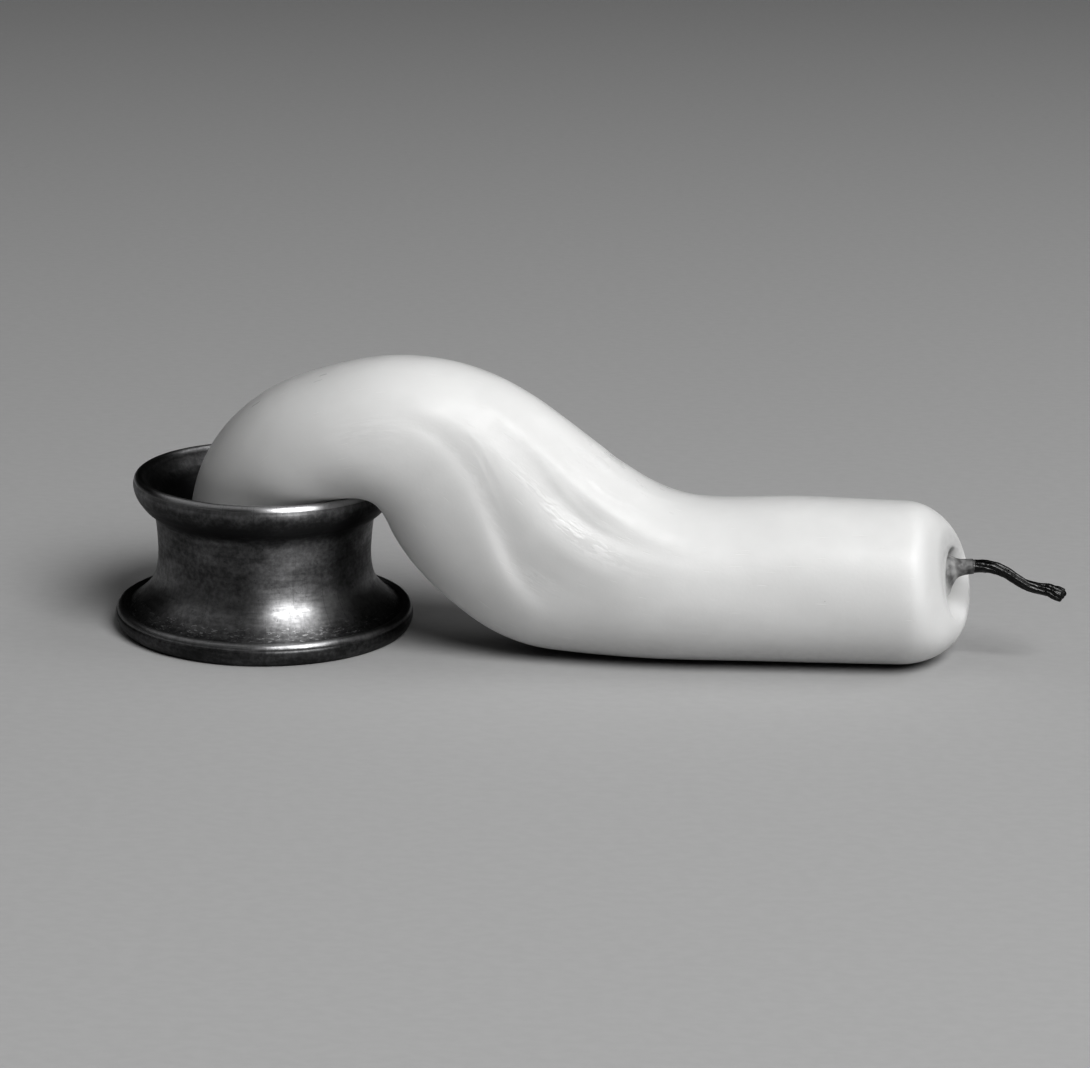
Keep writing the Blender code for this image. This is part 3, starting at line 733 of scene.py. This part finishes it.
# ---------------- sizes and colours to set
COLOUR = {"subtype": "COLOR", "size": 3, "min": 0.0, "max": 1.0}
LENGTH = {"unit": "LENGTH", "min": 0.0}
SHARE = {"subtype": "FACTOR", "min": 0.0}
POWER = {"unit": "POWER", "min": 0.0, "max": 100.0}


class MELTEDCANDLE_PG_wax(PropertyGroup):
    colour: FloatVectorProperty(
        name="Wax colour", description="Colour of clean wax", default=(0.80, 0.80, 0.795), **COLOUR)
    # this colour also paints the shade over the melt pool and on the wax next to the table
    soot_and_shade_colour: FloatVectorProperty(
        name="Soot colour", description="Colour of sooty wax in the melt pool",
        default=(0.09, 0.09, 0.09), **COLOUR)
    roughness: FloatProperty(
        name="Roughness", description="How dull the wax is", default=0.40, max=1.0, **SHARE)
    light_depth: FloatProperty(
        name="Light depth", description="How far light travels inside the wax",
        default=0.0042, max=0.02, precision=4, **LENGTH)
    fold_depth: FloatProperty(
        name="Fold depth", description="Share of the folds' full height",
        default=1.2, max=1.5, **SHARE)
    lip_gap: FloatProperty(
        name="Lip gap", description="Gap between the wax and the holder's lip",
        default=0.00008, max=0.001, precision=5, **LENGTH)
    folded_columns: IntProperty(
        name="Folded columns", description="Columns of faces on the folded side",
        default=140, min=20, max=400)
    plain_columns: IntProperty(
        name="Plain columns", description="Columns of faces on the far and lower side",
        default=90, min=20, max=400)


class MELTEDCANDLE_PG_wick(PropertyGroup):
    strands: IntProperty(
        name="Strands", description="Strands laid up in the wick", default=5, min=3, max=12)
    strand_radius: FloatProperty(
        name="Strand radius", description="Radius of one strand",
        default=0.00042, max=0.0009, precision=5, **LENGTH)
    lay_length: FloatProperty(
        name="Lay length", description="Length over which a strand goes once round",
        default=0.036, min=0.002, max=0.2, precision=4, unit="LENGTH")
    soaked_colour: FloatVectorProperty(
        name="Soaked colour", description="Colour of the cotton soaked with wax",
        default=(0.34, 0.34, 0.335), **COLOUR)
    char_colour: FloatVectorProperty(
        name="Char colour", description="Colour of the burnt cotton",
        default=(0.004, 0.004, 0.004), **COLOUR)


class MELTEDCANDLE_PG_holder(PropertyGroup):
    sides: IntProperty(
        name="Sides", description="Faces round the holder", default=216, min=24, max=360)
    dent_depth: FloatProperty(
        name="Dent depth", description="How far the metal strays from true round",
        default=0.00005, max=0.0005, precision=5, **LENGTH)
    roughness: FloatProperty(
        name="Roughness", description="Mean roughness of the metal", default=0.40, max=1.0, **SHARE)
    bare_colour: FloatVectorProperty(
        name="Bare colour", description="Colour of burnished metal",
        default=(0.55, 0.55, 0.555), **COLOUR)
    tarnish_colour: FloatVectorProperty(
        name="Tarnish colour", description="Colour of tarnished metal",
        default=(0.060, 0.060, 0.061), **COLOUR)


class MELTEDCANDLE_PG_stage(PropertyGroup):
    floor_colour: FloatVectorProperty(
        name="Ground colour", description="Colour of the ground", default=(0.51, 0.51, 0.51), **COLOUR)
    floor_radius: FloatProperty(
        name="Ground radius", description="Radius of the ground",
        default=4.0, min=0.5, max=20.0, unit="LENGTH")
    key_power: FloatProperty(
        name="Key power", description="Power of the large soft light", default=15.2, **POWER)
    side_power: FloatProperty(
        name="Side power", description="Power of the weak light from the wick's side",
        default=1.0, **POWER)
    left_power: FloatProperty(
        name="Left power", description="Power of the weak light from the holder's side",
        default=0.78, **POWER)
    sky: FloatProperty(
        name="Sky", description="Strength of the even light all round",
        default=0.005, min=0.0, max=10.0)


# ---------------- the wax
FOLDED_FROM = 96.0              # the folded side, in degrees round a section
FOLDED_TO = 216.0
# Rings of the skin: where a stretch of them starts along the candle, and how many it has. They are
# closest together where the folds are.
RING_STRETCHES = ((FOOT_ROUNDING + 0.0002, 30), (0.0180, 54), (0.0360, 190))
LAST_STRETCH = (0.0800, 42)
# How uneven the skin is: height, how often to the metre, and a place in the noise.
SKIN_WAVES = ((0.00011, 70.0, 3.0), (0.00002, 240.0, 9.0))
SKIN_INSET = 0.00022            # keeps the uneven skin inside the solid
SKIN_FADE = 12.0                # rings over which both fade out at the foot and at the pool
PAST_RIM = 6                    # rings that they reach past the pool's rim
TABLE_GAP = 0.00012             # under the lying wax
# Patches where the skin flaked or wrinkled: distance, angle, turn per metre along the candle, half
# length, half width in degrees, strength.
# Their whitened colour is partly painted glints, set where the skin's gloss catches the light.
FLAKED_AND_GLINT_PATCHES = (
    (0.0665, 161.5, 700.0, 0.0050, 4.2, 1.0),
    (0.0570, 156.5, 700.0, 0.0060, 2.8, 0.45),
    (0.0530, 178.0, 1900.0, 0.0060, 2.6, 0.35),
    (0.0650, 130.0, 0.0, 0.0055, 1.8, 0.40),
    (0.0380, 164.0, 0.0, 0.0022, 7.0, 0.40),
    (0.0640, 194.0, 0.0, 0.0016, 5.0, 0.55),
)
# Stretches where the skin was drawn into fine lines: distance, half length, strength.
DRAWN_STRETCHES = (
    (0.0270, 0.0100, 0.60),
    (0.0660, 0.0130, 1.0),
)
DRAWN_ANGLE = 104.0             # the lines are strongest near the top, in degrees
DRAWN_SPREAD = 20.0
DRAWN_ALL_OVER = 0.08
# Up the wick, where its wax is a thin shell that light doesn't travel in, and out from the wick.
THIN_FROM = 0.0058
THIN_OVER = 0.0014
THIN_REACH = 0.0030
WICK_START = 0.003              # up the wick, where distances from it are measured from
WICK_STEPS = 90
POOL_SIDE = 0.0845              # along X: the candle's burnt end lies beyond this


def section_columns(folded_count, plain_count):
    """Angles of the skin's columns, closest together on the folded side."""
    folded = np.linspace(FOLDED_FROM, FOLDED_TO, folded_count, endpoint=False)
    plain = np.linspace(FOLDED_TO, FOLDED_FROM + 360.0, plain_count, endpoint=False)
    return np.concatenate((folded, plain))


def section_distances():
    """Distances of the skin's rings along the candle."""
    ends = [start for start, _ in RING_STRETCHES[1:]] + [LAST_STRETCH[0]]
    stretches = [np.linspace(start, end, rings, endpoint=False)
                 for (start, rings), end in zip(RING_STRETCHES, ends)]
    stretches.append(np.linspace(LAST_STRETCH[0], CANDLE_LINE.length, LAST_STRETCH[1]))
    return np.concatenate(stretches)


def flaked_and_glint_strength(s, degrees):
    total = np.zeros((len(s), len(degrees)))
    for place, angle, turn, half_length, half_width, strength in FLAKED_AND_GLINT_PATCHES:
        along = (s[:, None] - place) / half_length
        middle = angle + turn * (s[:, None] - place)
        across = degrees_from(degrees[None, :], middle) / half_width
        total += strength * np.exp(-0.5 * (along**2 + across**2))
    return np.clip(total, 0.0, 1.0)


def drawn_strength(s, degrees):
    total = np.zeros(len(s))
    for place, half_length, strength in DRAWN_STRETCHES:
        total += strength * bell(s - place, half_length)
    across = bell(degrees_from(degrees, DRAWN_ANGLE), DRAWN_SPREAD)
    return total[:, None] * (0.15 + 0.85 * across)[None, :]


def build_wax(settings):
    """One skin from the foot over the slump to the melt pool, and back through the wick's bore."""
    degrees = section_columns(settings.folded_columns, settings.plain_columns)
    distances = section_distances()
    bore_radius = DRAWN_WAX[-1][1]
    foot = foot_rings(degrees, bore_radius)
    end = shoulder_and_pool_rings(degrees)
    bore = bore_rings(degrees, bore_radius)
    body = skin_points(distances, degrees, settings.fold_depth)
    points = np.concatenate((np.array(foot), body, np.array(end), np.array(bore)))

    first, last = len(foot), len(foot) + len(distances)
    fade_end = last + SHOULDER_RINGS + PAST_RIM
    outward = grid_normals(points)
    uneven = sum(height * noise_at(points, scale, offset) for height, scale, offset in SKIN_WAVES)
    ring = np.arange(len(points))
    fade = ease((ring - first) / SKIN_FADE) * ease((fade_end - ring) / SKIN_FADE)
    points += (fade[:, None] * (uneven - SKIN_INSET))[..., None] * outward
    points[:last] = press_on_lip(points[:last], outward[:last], settings.lip_gap)
    points[..., 2] = np.maximum(points[..., 2], TABLE_GAP)

    faces = grid_faces(len(points), len(degrees), True)
    candle = mesh_object("wax_candle", points, faces, wax_finish(settings))
    steps = np.linalg.norm(np.diff(points, axis=0), axis=-1).mean(axis=1)
    along = np.concatenate(([0.0], np.cumsum(steps)))
    turn = 2.0 * math.pi * CANDLE_RADIUS
    around = (degrees - degrees[0]) / 360.0 * turn
    lay_run_map(candle.data, np.append(along, along[-1]), around, len(degrees), turn)

    # flaked patches, whose whitening partly paints glints
    flaked_and_glinting = np.zeros(points.shape[:2])
    flaked_and_glinting[first:last] = flaked_and_glint_strength(distances, degrees)
    drawn = np.full(points.shape[:2], DRAWN_ALL_OVER)
    drawn[first:last] += drawn_strength(distances, degrees)
    away, up_wick = wick_distances(points)
    lay_attribute(candle.data, "flaked_and_glinting", flaked_and_glinting)
    lay_attribute(candle.data, "drawn", np.clip(drawn, 0.0, 1.0))
    # real soot at the wick, plus painted shade over the melt pool and next to the table
    lay_attribute(candle.data, "soot_and_shade", soot_and_shade_strength(points, away, up_wick))
    thin = ease((up_wick - THIN_FROM) / THIN_OVER) * (away < THIN_REACH)
    lay_attribute(candle.data, "thin", thin)
    return candle


def wick_distances(points):
    """How far each point of the wax is from the wick's free end, and how far up the wick."""
    places = np.linspace(WICK_START, WICK_LINE.length, WICK_STEPS)
    line = WICK_LINE.values(places)[:, :3]
    flat = points.reshape(-1, 3)
    near = flat[:, 0] > POOL_SIDE
    away = np.full(len(flat), 1.0)
    up_wick = np.zeros(len(flat))
    spans = np.linalg.norm(flat[near][:, None, :] - line[None, :, :], axis=-1)
    away[near] = spans.min(axis=1)
    up_wick[near] = places[spans.argmin(axis=1)]
    return away.reshape(points.shape[:2]), up_wick.reshape(points.shape[:2])


def soot_and_shade_strength(points, away, up_wick):
    """Soot smudge and tint round the wick, painted shade over the melt pool, a scorch up the drawn wax,
    and painted shade next to the table.
    """
    smudge = 0.80 * bell(away - 0.0023, 0.00050)
    tint = 0.30 * ease((0.0030 - away) / 0.0012)
    # painted shade over the melt pool
    painted_pool_shade = 0.17 * ease((0.0060 - away) / 0.0016)
    scorch = 0.58 * ease((up_wick - 0.0062) / 0.0020) + 0.38 * ease((up_wick - 0.0086) / 0.0012)
    scorch = scorch * (away < 0.0022)
    # painted shade on the wax next to the table, darker towards the table
    painted_table_shade = 0.22 * ease((0.0065 - points[..., 2]) / 0.0060)
    pool = np.maximum(smudge, np.maximum(tint, painted_pool_shade))
    return np.clip(pool + scorch + painted_table_shade, 0.0, 1.0)


# ---------------- the wick
# Distances beyond the candle's last section: where the cotton is burnt, bare of wax and crusted.
BURNT_FROM = 0.0091
BURNT_FULLY = 0.0104
BARE_OVER = 0.0040
CRUSTED_FROM = 0.0185
CRUSTED_OVER = 0.0025
LUMPY_FROM = 0.0190
LUMPY_OVER = 0.0015
WICK_COLUMNS = 96
HIDDEN_RINGS = 60
FREE_RINGS = 360
SOAKED_RADIUS = 0.93 * WICK_RADIUS
ROOT_SHARES = (0.1, 0.6)
TIP_SHARES = (0.15, 0.4, 0.7, 0.95)
TIP_BULGE = 0.0003


def wick_frames(distances):
    """Centres, directions and the two vectors across, from the candle's foot to the wick's tip."""
    inside = distances < CANDLE_LINE.length
    on_candle = frames_along(CANDLE_LINE, np.minimum(distances, CANDLE_LINE.length))
    beyond = np.clip(distances - CANDLE_LINE.length, 0.0, WICK_LINE.length)
    on_wick = frames_along(WICK_LINE, beyond)
    return [np.where(inside[:, None], first[:, :3], second[:, :3])
            for first, second in zip(on_candle, on_wick)]


def strand_envelope(turn, distances, settings):
    """Radius of the skin round strands laid side by side, for distances down and angles across."""
    offset = WICK_RADIUS - settings.strand_radius
    best = np.full((len(distances), len(turn)), 0.55 * WICK_RADIUS)
    for strand in range(settings.strands):
        wander = np.array([noise.noise(Vector((d * 300.0, strand * 7.3, 1.7))) for d in distances])
        thick = np.array([noise.noise(Vector((d * 380.0, strand * 5.1, 8.9))) for d in distances])
        turns = strand / settings.strands + distances / settings.lay_length
        centre = 2.0 * math.pi * turns + 0.35 * wander
        strand_size = settings.strand_radius * (1.0 + 0.20 * thick)
        away = turn[None, :] - centre[:, None]
        inside = strand_size[:, None] ** 2 - (offset * np.sin(away)) ** 2
        reach = offset * np.cos(away) + np.sqrt(np.maximum(inside, 0.0))
        best = np.where((inside > 0.0) & (np.cos(away) > 0.0), np.maximum(best, reach), best)
    return best


def rounded_tube(curve, radius, column_count, ring_count):
    """Rings of a lumpy tube along a curve, closed to a round end on both sides."""
    turn = np.linspace(0.0, 2.0 * math.pi, column_count, endpoint=False)
    places = np.linspace(0.0, curve.length, ring_count)
    centres, _, side, outward = frames_along(curve, places)
    spokes = spokes_about(turn, side, outward)
    to_end = np.minimum(places, curve.length - places) / radius
    shrink = np.sqrt(np.clip(1.0 - (1.0 - np.minimum(to_end, 1.0)) ** 2, 0.02, 1.0))
    lumps = 1.0 + 0.16 * noise_at(centres[:, None, :3] + radius * spokes, 2300.0, 4.0)
    return centres[:, None, :3] + radius * (shrink[:, None] * lumps)[..., None] * spokes


def build_wick(settings):
    """The laid-up cotton through the whole candle, with its burnt free end and frayed tip."""
    hidden = np.linspace(0.0, CANDLE_LINE.length, HIDDEN_RINGS, endpoint=False)
    free = np.linspace(CANDLE_LINE.length, CANDLE_LINE.length + WICK_LINE.length, FREE_RINGS)
    distances = np.concatenate((hidden, free))
    turn = np.linspace(0.0, 2.0 * math.pi, WICK_COLUMNS, endpoint=False)
    centres, along, side, outward = wick_frames(distances)
    beyond = distances - CANDLE_LINE.length
    burnt = ease((beyond - BURNT_FROM) / (BURNT_FULLY - BURNT_FROM))
    crusted = ease((beyond - CRUSTED_FROM) / CRUSTED_OVER)
    bare = 0.25 + 0.75 * ease((beyond - BURNT_FROM) / BARE_OVER)
    relief = strand_envelope(turn, distances, settings) - SOAKED_RADIUS
    girth = np.interp(beyond, *zip(*WICK_GIRTH))
    radius = girth[:, None] * (SOAKED_RADIUS + bare[:, None] * relief)
    spokes = spokes_about(turn, side, outward)
    points = centres[:, None, :] + radius[..., None] * spokes
    lumps = noise_at(points, 1100.0) * 0.00005 + noise_at(points, 2600.0, 5.0) * 0.000025
    lumpy = ease((beyond - LUMPY_FROM) / LUMPY_OVER)[:, None]
    tip_lumps = noise_at(points, 700.0, 2.0) * 0.00012 * lumpy
    points += (lumps * burnt[:, None] + tip_lumps)[..., None] * spokes

    root = [centres[0] + share * (points[0] - centres[0]) for share in ROOT_SHARES]
    tip = []
    for share in TIP_SHARES:
        bulge = TIP_BULGE * math.sin(1.5 * share) * along[-1]
        tip.append(centres[-1] + (1.0 - share) * (points[-1] - centres[-1]) + bulge)
    grids = [np.concatenate((np.array(root), points, np.array(tip)))]
    for strand_radius, way in LOOSE_STRANDS:
        bends = [centres[-1] + a * along[-1] + b * side[-1] + c * outward[-1] for a, b, c in way]
        grids.append(rounded_tube(SmoothCurve(bends), strand_radius, 24, 40))

    points, faces, started = [], [], 0
    for grid in grids:
        points.append(grid.reshape(-1, 3))
        faces.append(grid_faces(len(grid), grid.shape[1], False) + started)
        started += len(points[-1])
    points, faces = np.concatenate(points), np.concatenate(faces)
    cord = mesh_object("cotton_wick", points, faces, char_finish(settings))
    for name, values in (("burnt", burnt), ("crusted", crusted)):
        values = np.concatenate((np.zeros(len(root)), values, np.ones(len(tip))))
        values = np.repeat(values, WICK_COLUMNS)
        loose = np.ones(started - len(values))
        lay_attribute(cord.data, name, np.concatenate((values, loose)))
    return cord


# ---------------- the holder
def holder_profile():
    """Radius, height and wear of the turned outline, from the socket's floor to under the foot."""
    outside = SmoothCurve([(r, 0.0, z) for r, z in OUTSIDE])
    corner = (SOCKET_RADIUS - SOCKET_CORNER, CUP_FLOOR + SOCKET_CORNER, SOCKET_CORNER, SOCKET_CORNER)
    mouth = (SOCKET_RADIUS + MOUTH_WIDTH, MOUTH_BOTTOM, MOUTH_WIDTH, MOUTH_HEIGHT)
    lip = (LIP_RADIUS, LIP_CENTRE_HEIGHT, LIP_HALF_WIDTH, LIP_HALF_HEIGHT)
    foot = SmoothCurve([(FOOT_RADIUS - inwards, 0.0, z) for inwards, z in FOOT_OUTLINE])
    rows = []

    def add(points, wear):
        wears = np.broadcast_to(wear, len(points))
        rows.extend((r, z, w) for (r, z), w in zip(points, wears))

    floor_end = SOCKET_RADIUS - SOCKET_CORNER
    add([(r, CUP_FLOOR) for r in np.linspace(0.0, floor_end, 6, endpoint=False)], 0.0)
    add(arc(*corner, -90, 0, 6), 0.0)
    add(arc(*mouth, 180, 122, 26), -0.35 + 0.75 * np.linspace(0.0, 1.0, 26) ** 3)
    turns = np.linspace(168, LIP_TURN_END + 4.0, 32)
    add(arc(*lip, turns[0], turns[-1], 32), 0.40 + 0.50 * bell(turns - 60.0, 45.0))
    side = outside.values(np.linspace(0.0, outside.length, 110))
    height = side[:, 2]
    band_wear = 0.30 * ease((height - 0.0186) / 0.0012)
    under_lip = 0.25 * bell(height - 0.0169, 0.0009)
    flare_wear = 0.40 * bell(height - 0.0062, 0.0018)
    waist_wear = 0.10 * bell(height - 0.0120, 0.0026)
    side_wear = 0.22 + 0.8 * (band_wear + flare_wear) + waist_wear - under_lip
    add([(r, z) for r, _, z in side], side_wear)
    rim = foot.values(np.linspace(0.0, foot.length, 60))
    rim[:, 2] = np.maximum(rim[:, 2], 0.0)
    add([(r, z) for r, _, z in rim], 0.16 + 0.46 * bell(rim[:, 2] - 0.0029, 0.00040))
    add([(r, 0.0) for r in np.linspace(rim[-1, 0], 0.0, 8)[1:]], 0.1)
    return rows


def turned(name, rows, sides, material):
    """Turn rows of radius, height and wear about Z with a Screw modifier, and keep its mesh."""
    mesh = bpy.data.meshes.new(name + "_outline")
    points = [(r, 0.0, z) for r, z, _ in rows]
    mesh.from_pydata(points, [(i, i + 1) for i in range(len(points) - 1)], [])
    outline = linked(name + "_outline", mesh)
    lay_attribute(mesh, "worn", np.array([wear for _, _, wear in rows]))
    screw = outline.modifiers.new("turn", "SCREW")
    screw.steps = screw.render_steps = sides
    screw.use_merge_vertices = True
    screw.merge_threshold = 0.000005
    bpy.context.view_layer.update()
    evaluated = outline.evaluated_get(bpy.context.evaluated_depsgraph_get())
    solid = bpy.data.meshes.new_from_object(evaluated)
    bpy.data.objects.remove(outline)
    solid.name = name
    solid.materials.append(material)
    solid.shade_smooth()
    return linked(name, solid)


def build_holder(settings):
    """The turned holder, a little out of true, with small dents from use."""
    holder = turned("pewter_holder", holder_profile(), settings.sides, pewter_finish(settings))
    mesh = holder.data
    places = np.zeros(len(mesh.vertices) * 3, np.float32)
    mesh.vertices.foreach_get("co", places)
    places = places.reshape(-1, 3).astype(float)
    normals = np.array([tuple(v.normal) for v in mesh.vertices])
    broad = settings.dent_depth * (noise_at(places, 130.0) - 0.9)
    small = 0.25 * settings.dent_depth * noise_at(places, 420.0)
    in_socket = np.hypot(places[:, 0], places[:, 1]) <= 0.5 * SOCKET_RADIUS
    free = (places[:, 2] > 0.00005) & ~in_socket
    places += np.where(free, broad + small, 0.0)[:, None] * normals
    mesh.vertices.foreach_set("co", places.ravel().astype(np.float32))
    mesh.update()
    return holder


# ---------------- the stage
def build_camera():
    """A long lens that looks a little down on the near side."""
    pitch, roll = CAMERA_PITCH, CAMERA_ROLL
    forward = np.array((0.0, math.cos(pitch), -math.sin(pitch)))
    right = np.array((1.0, 0.0, 0.0))
    up = np.cross(right, forward)
    level_right = right * math.cos(roll) + up * math.sin(roll)
    level_up = up * math.cos(roll) - right * math.sin(roll)
    place = np.array(CAMERA_AIM) - CAMERA_DISTANCE * forward
    camera = bpy.data.cameras.new("camera")
    camera.lens = CAMERA_LENS
    camera.sensor_width = 36.0
    camera.clip_start = 0.01
    made = linked("camera", camera)
    turn = Matrix((level_right, level_up, -forward)).transposed()
    made.matrix_world = Matrix.Translation(place) @ turn.to_4x4()
    bpy.context.scene.camera = made


def soft_light(name, azimuth, elevation, distance, size, power):
    """A soft round light aimed at the object. Azimuth 0 is the camera's side, 90 the wick's."""
    light = bpy.data.lights.new(name, "AREA")
    light.shape = "DISK"
    light.size = size
    light.energy = power
    made = linked(name, light)
    turn, rise = math.radians(azimuth), math.radians(elevation)
    level = math.cos(rise)
    back = Vector((math.sin(turn) * level, -math.cos(turn) * level, math.sin(rise)))
    made.location = 0.5 * (Vector(cad_box[0]) + Vector(cad_box[1])) + distance * back
    made.rotation_euler = back.to_track_quat("Z", "Y").to_euler()


def build_stage(settings):
    """Pale ground, a large soft light from the near right, a weak one each side, and the camera."""
    bpy.ops.mesh.primitive_circle_add(vertices=96, radius=settings.floor_radius, fill_type="NGON")
    floor = bpy.context.object
    floor.name = "ground"
    floor.data.materials.append(floor_finish(settings))
    soft_light("key_light", 33.0, 43.0, 1.5, 0.95, settings.key_power)
    soft_light("side_light", 95.0, 50.0, 1.0, 0.60, settings.side_power)
    soft_light("left_light", -90.0, 60.0, 0.75, 1.00, settings.left_power)
    world = bpy.data.worlds.new("even_sky")
    world.use_nodes = True
    background = world.node_tree.nodes["Background"].inputs
    background["Color"].default_value = grey(1.0)
    background["Strength"].default_value = settings.sky
    bpy.context.scene.world = world
    bpy.context.scene.view_settings.view_transform = "Standard"
    bpy.context.scene.view_settings.look = "High Contrast"
    build_camera()


# ---------------- operators and panel
def seat(piece, node):
    """Let a finished piece stand for its solid and ride on the solid's body."""
    body = frame["nodes"][node]["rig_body"]
    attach(piece, body)
    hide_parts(node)


class MELTEDCANDLE_OT_wax(Operator):
    """Build the slumped wax candle"""
    bl_idname = "melted_candle.build_wax"
    bl_label = "Build Wax"

    def execute(self, context):
        seat(build_wax(context.scene.melted_candle_wax), "candle")
        return {"FINISHED"}


class MELTEDCANDLE_OT_wick(Operator):
    """Build the charred wick"""
    bl_idname = "melted_candle.build_wick"
    bl_label = "Build Wick"

    def execute(self, context):
        seat(build_wick(context.scene.melted_candle_wick), "wick")
        return {"FINISHED"}


class MELTEDCANDLE_OT_holder(Operator):
    """Build the turned pewter holder"""
    bl_idname = "melted_candle.build_holder"
    bl_label = "Build Holder"

    def execute(self, context):
        seat(build_holder(context.scene.melted_candle_holder), "holder")
        return {"FINISHED"}


class MELTEDCANDLE_OT_stage(Operator):
    """Lay the ground and set the lights and the camera"""
    bl_idname = "melted_candle.build_stage"
    bl_label = "Build Stage"

    def execute(self, context):
        build_stage(context.scene.melted_candle_stage)
        return {"FINISHED"}


class MELTEDCANDLE_PT_sidebar(Panel):
    """Buttons and sizes for the candle"""
    bl_idname = "MELTEDCANDLE_PT_sidebar"
    bl_label = "Melted Candle"
    bl_space_type = "VIEW_3D"
    bl_region_type = "UI"
    bl_category = "Melted Candle"

    def draw(self, context):
        for operator, settings_name in STEPS:
            box = self.layout.box()
            box.operator(operator.bl_idname)
            settings = getattr(context.scene, settings_name)
            for name in settings.__annotations__:
                box.prop(settings, name)


STEPS = (
    (MELTEDCANDLE_OT_wax, "melted_candle_wax"),
    (MELTEDCANDLE_OT_wick, "melted_candle_wick"),
    (MELTEDCANDLE_OT_holder, "melted_candle_holder"),
    (MELTEDCANDLE_OT_stage, "melted_candle_stage"),
)
GROUPS = {
    "melted_candle_wax": MELTEDCANDLE_PG_wax,
    "melted_candle_wick": MELTEDCANDLE_PG_wick,
    "melted_candle_holder": MELTEDCANDLE_PG_holder,
    "melted_candle_stage": MELTEDCANDLE_PG_stage,
}
CLASSES = (*GROUPS.values(), *(operator for operator, _ in STEPS), MELTEDCANDLE_PT_sidebar)


def register():
    for each in CLASSES:
        bpy.utils.register_class(each)
    for name, group in GROUPS.items():
        setattr(bpy.types.Scene, name, PointerProperty(type=group))


def unregister():
    for name in GROUPS:
        delattr(bpy.types.Scene, name)
    for each in reversed(CLASSES):
        bpy.utils.unregister_class(each)


def main():
    register()
    bpy.ops.melted_candle.build_wax()
    bpy.ops.melted_candle.build_wick()
    bpy.ops.melted_candle.build_holder()
    bpy.ops.melted_candle.build_stage()


if __name__ == "__main__":
    main()
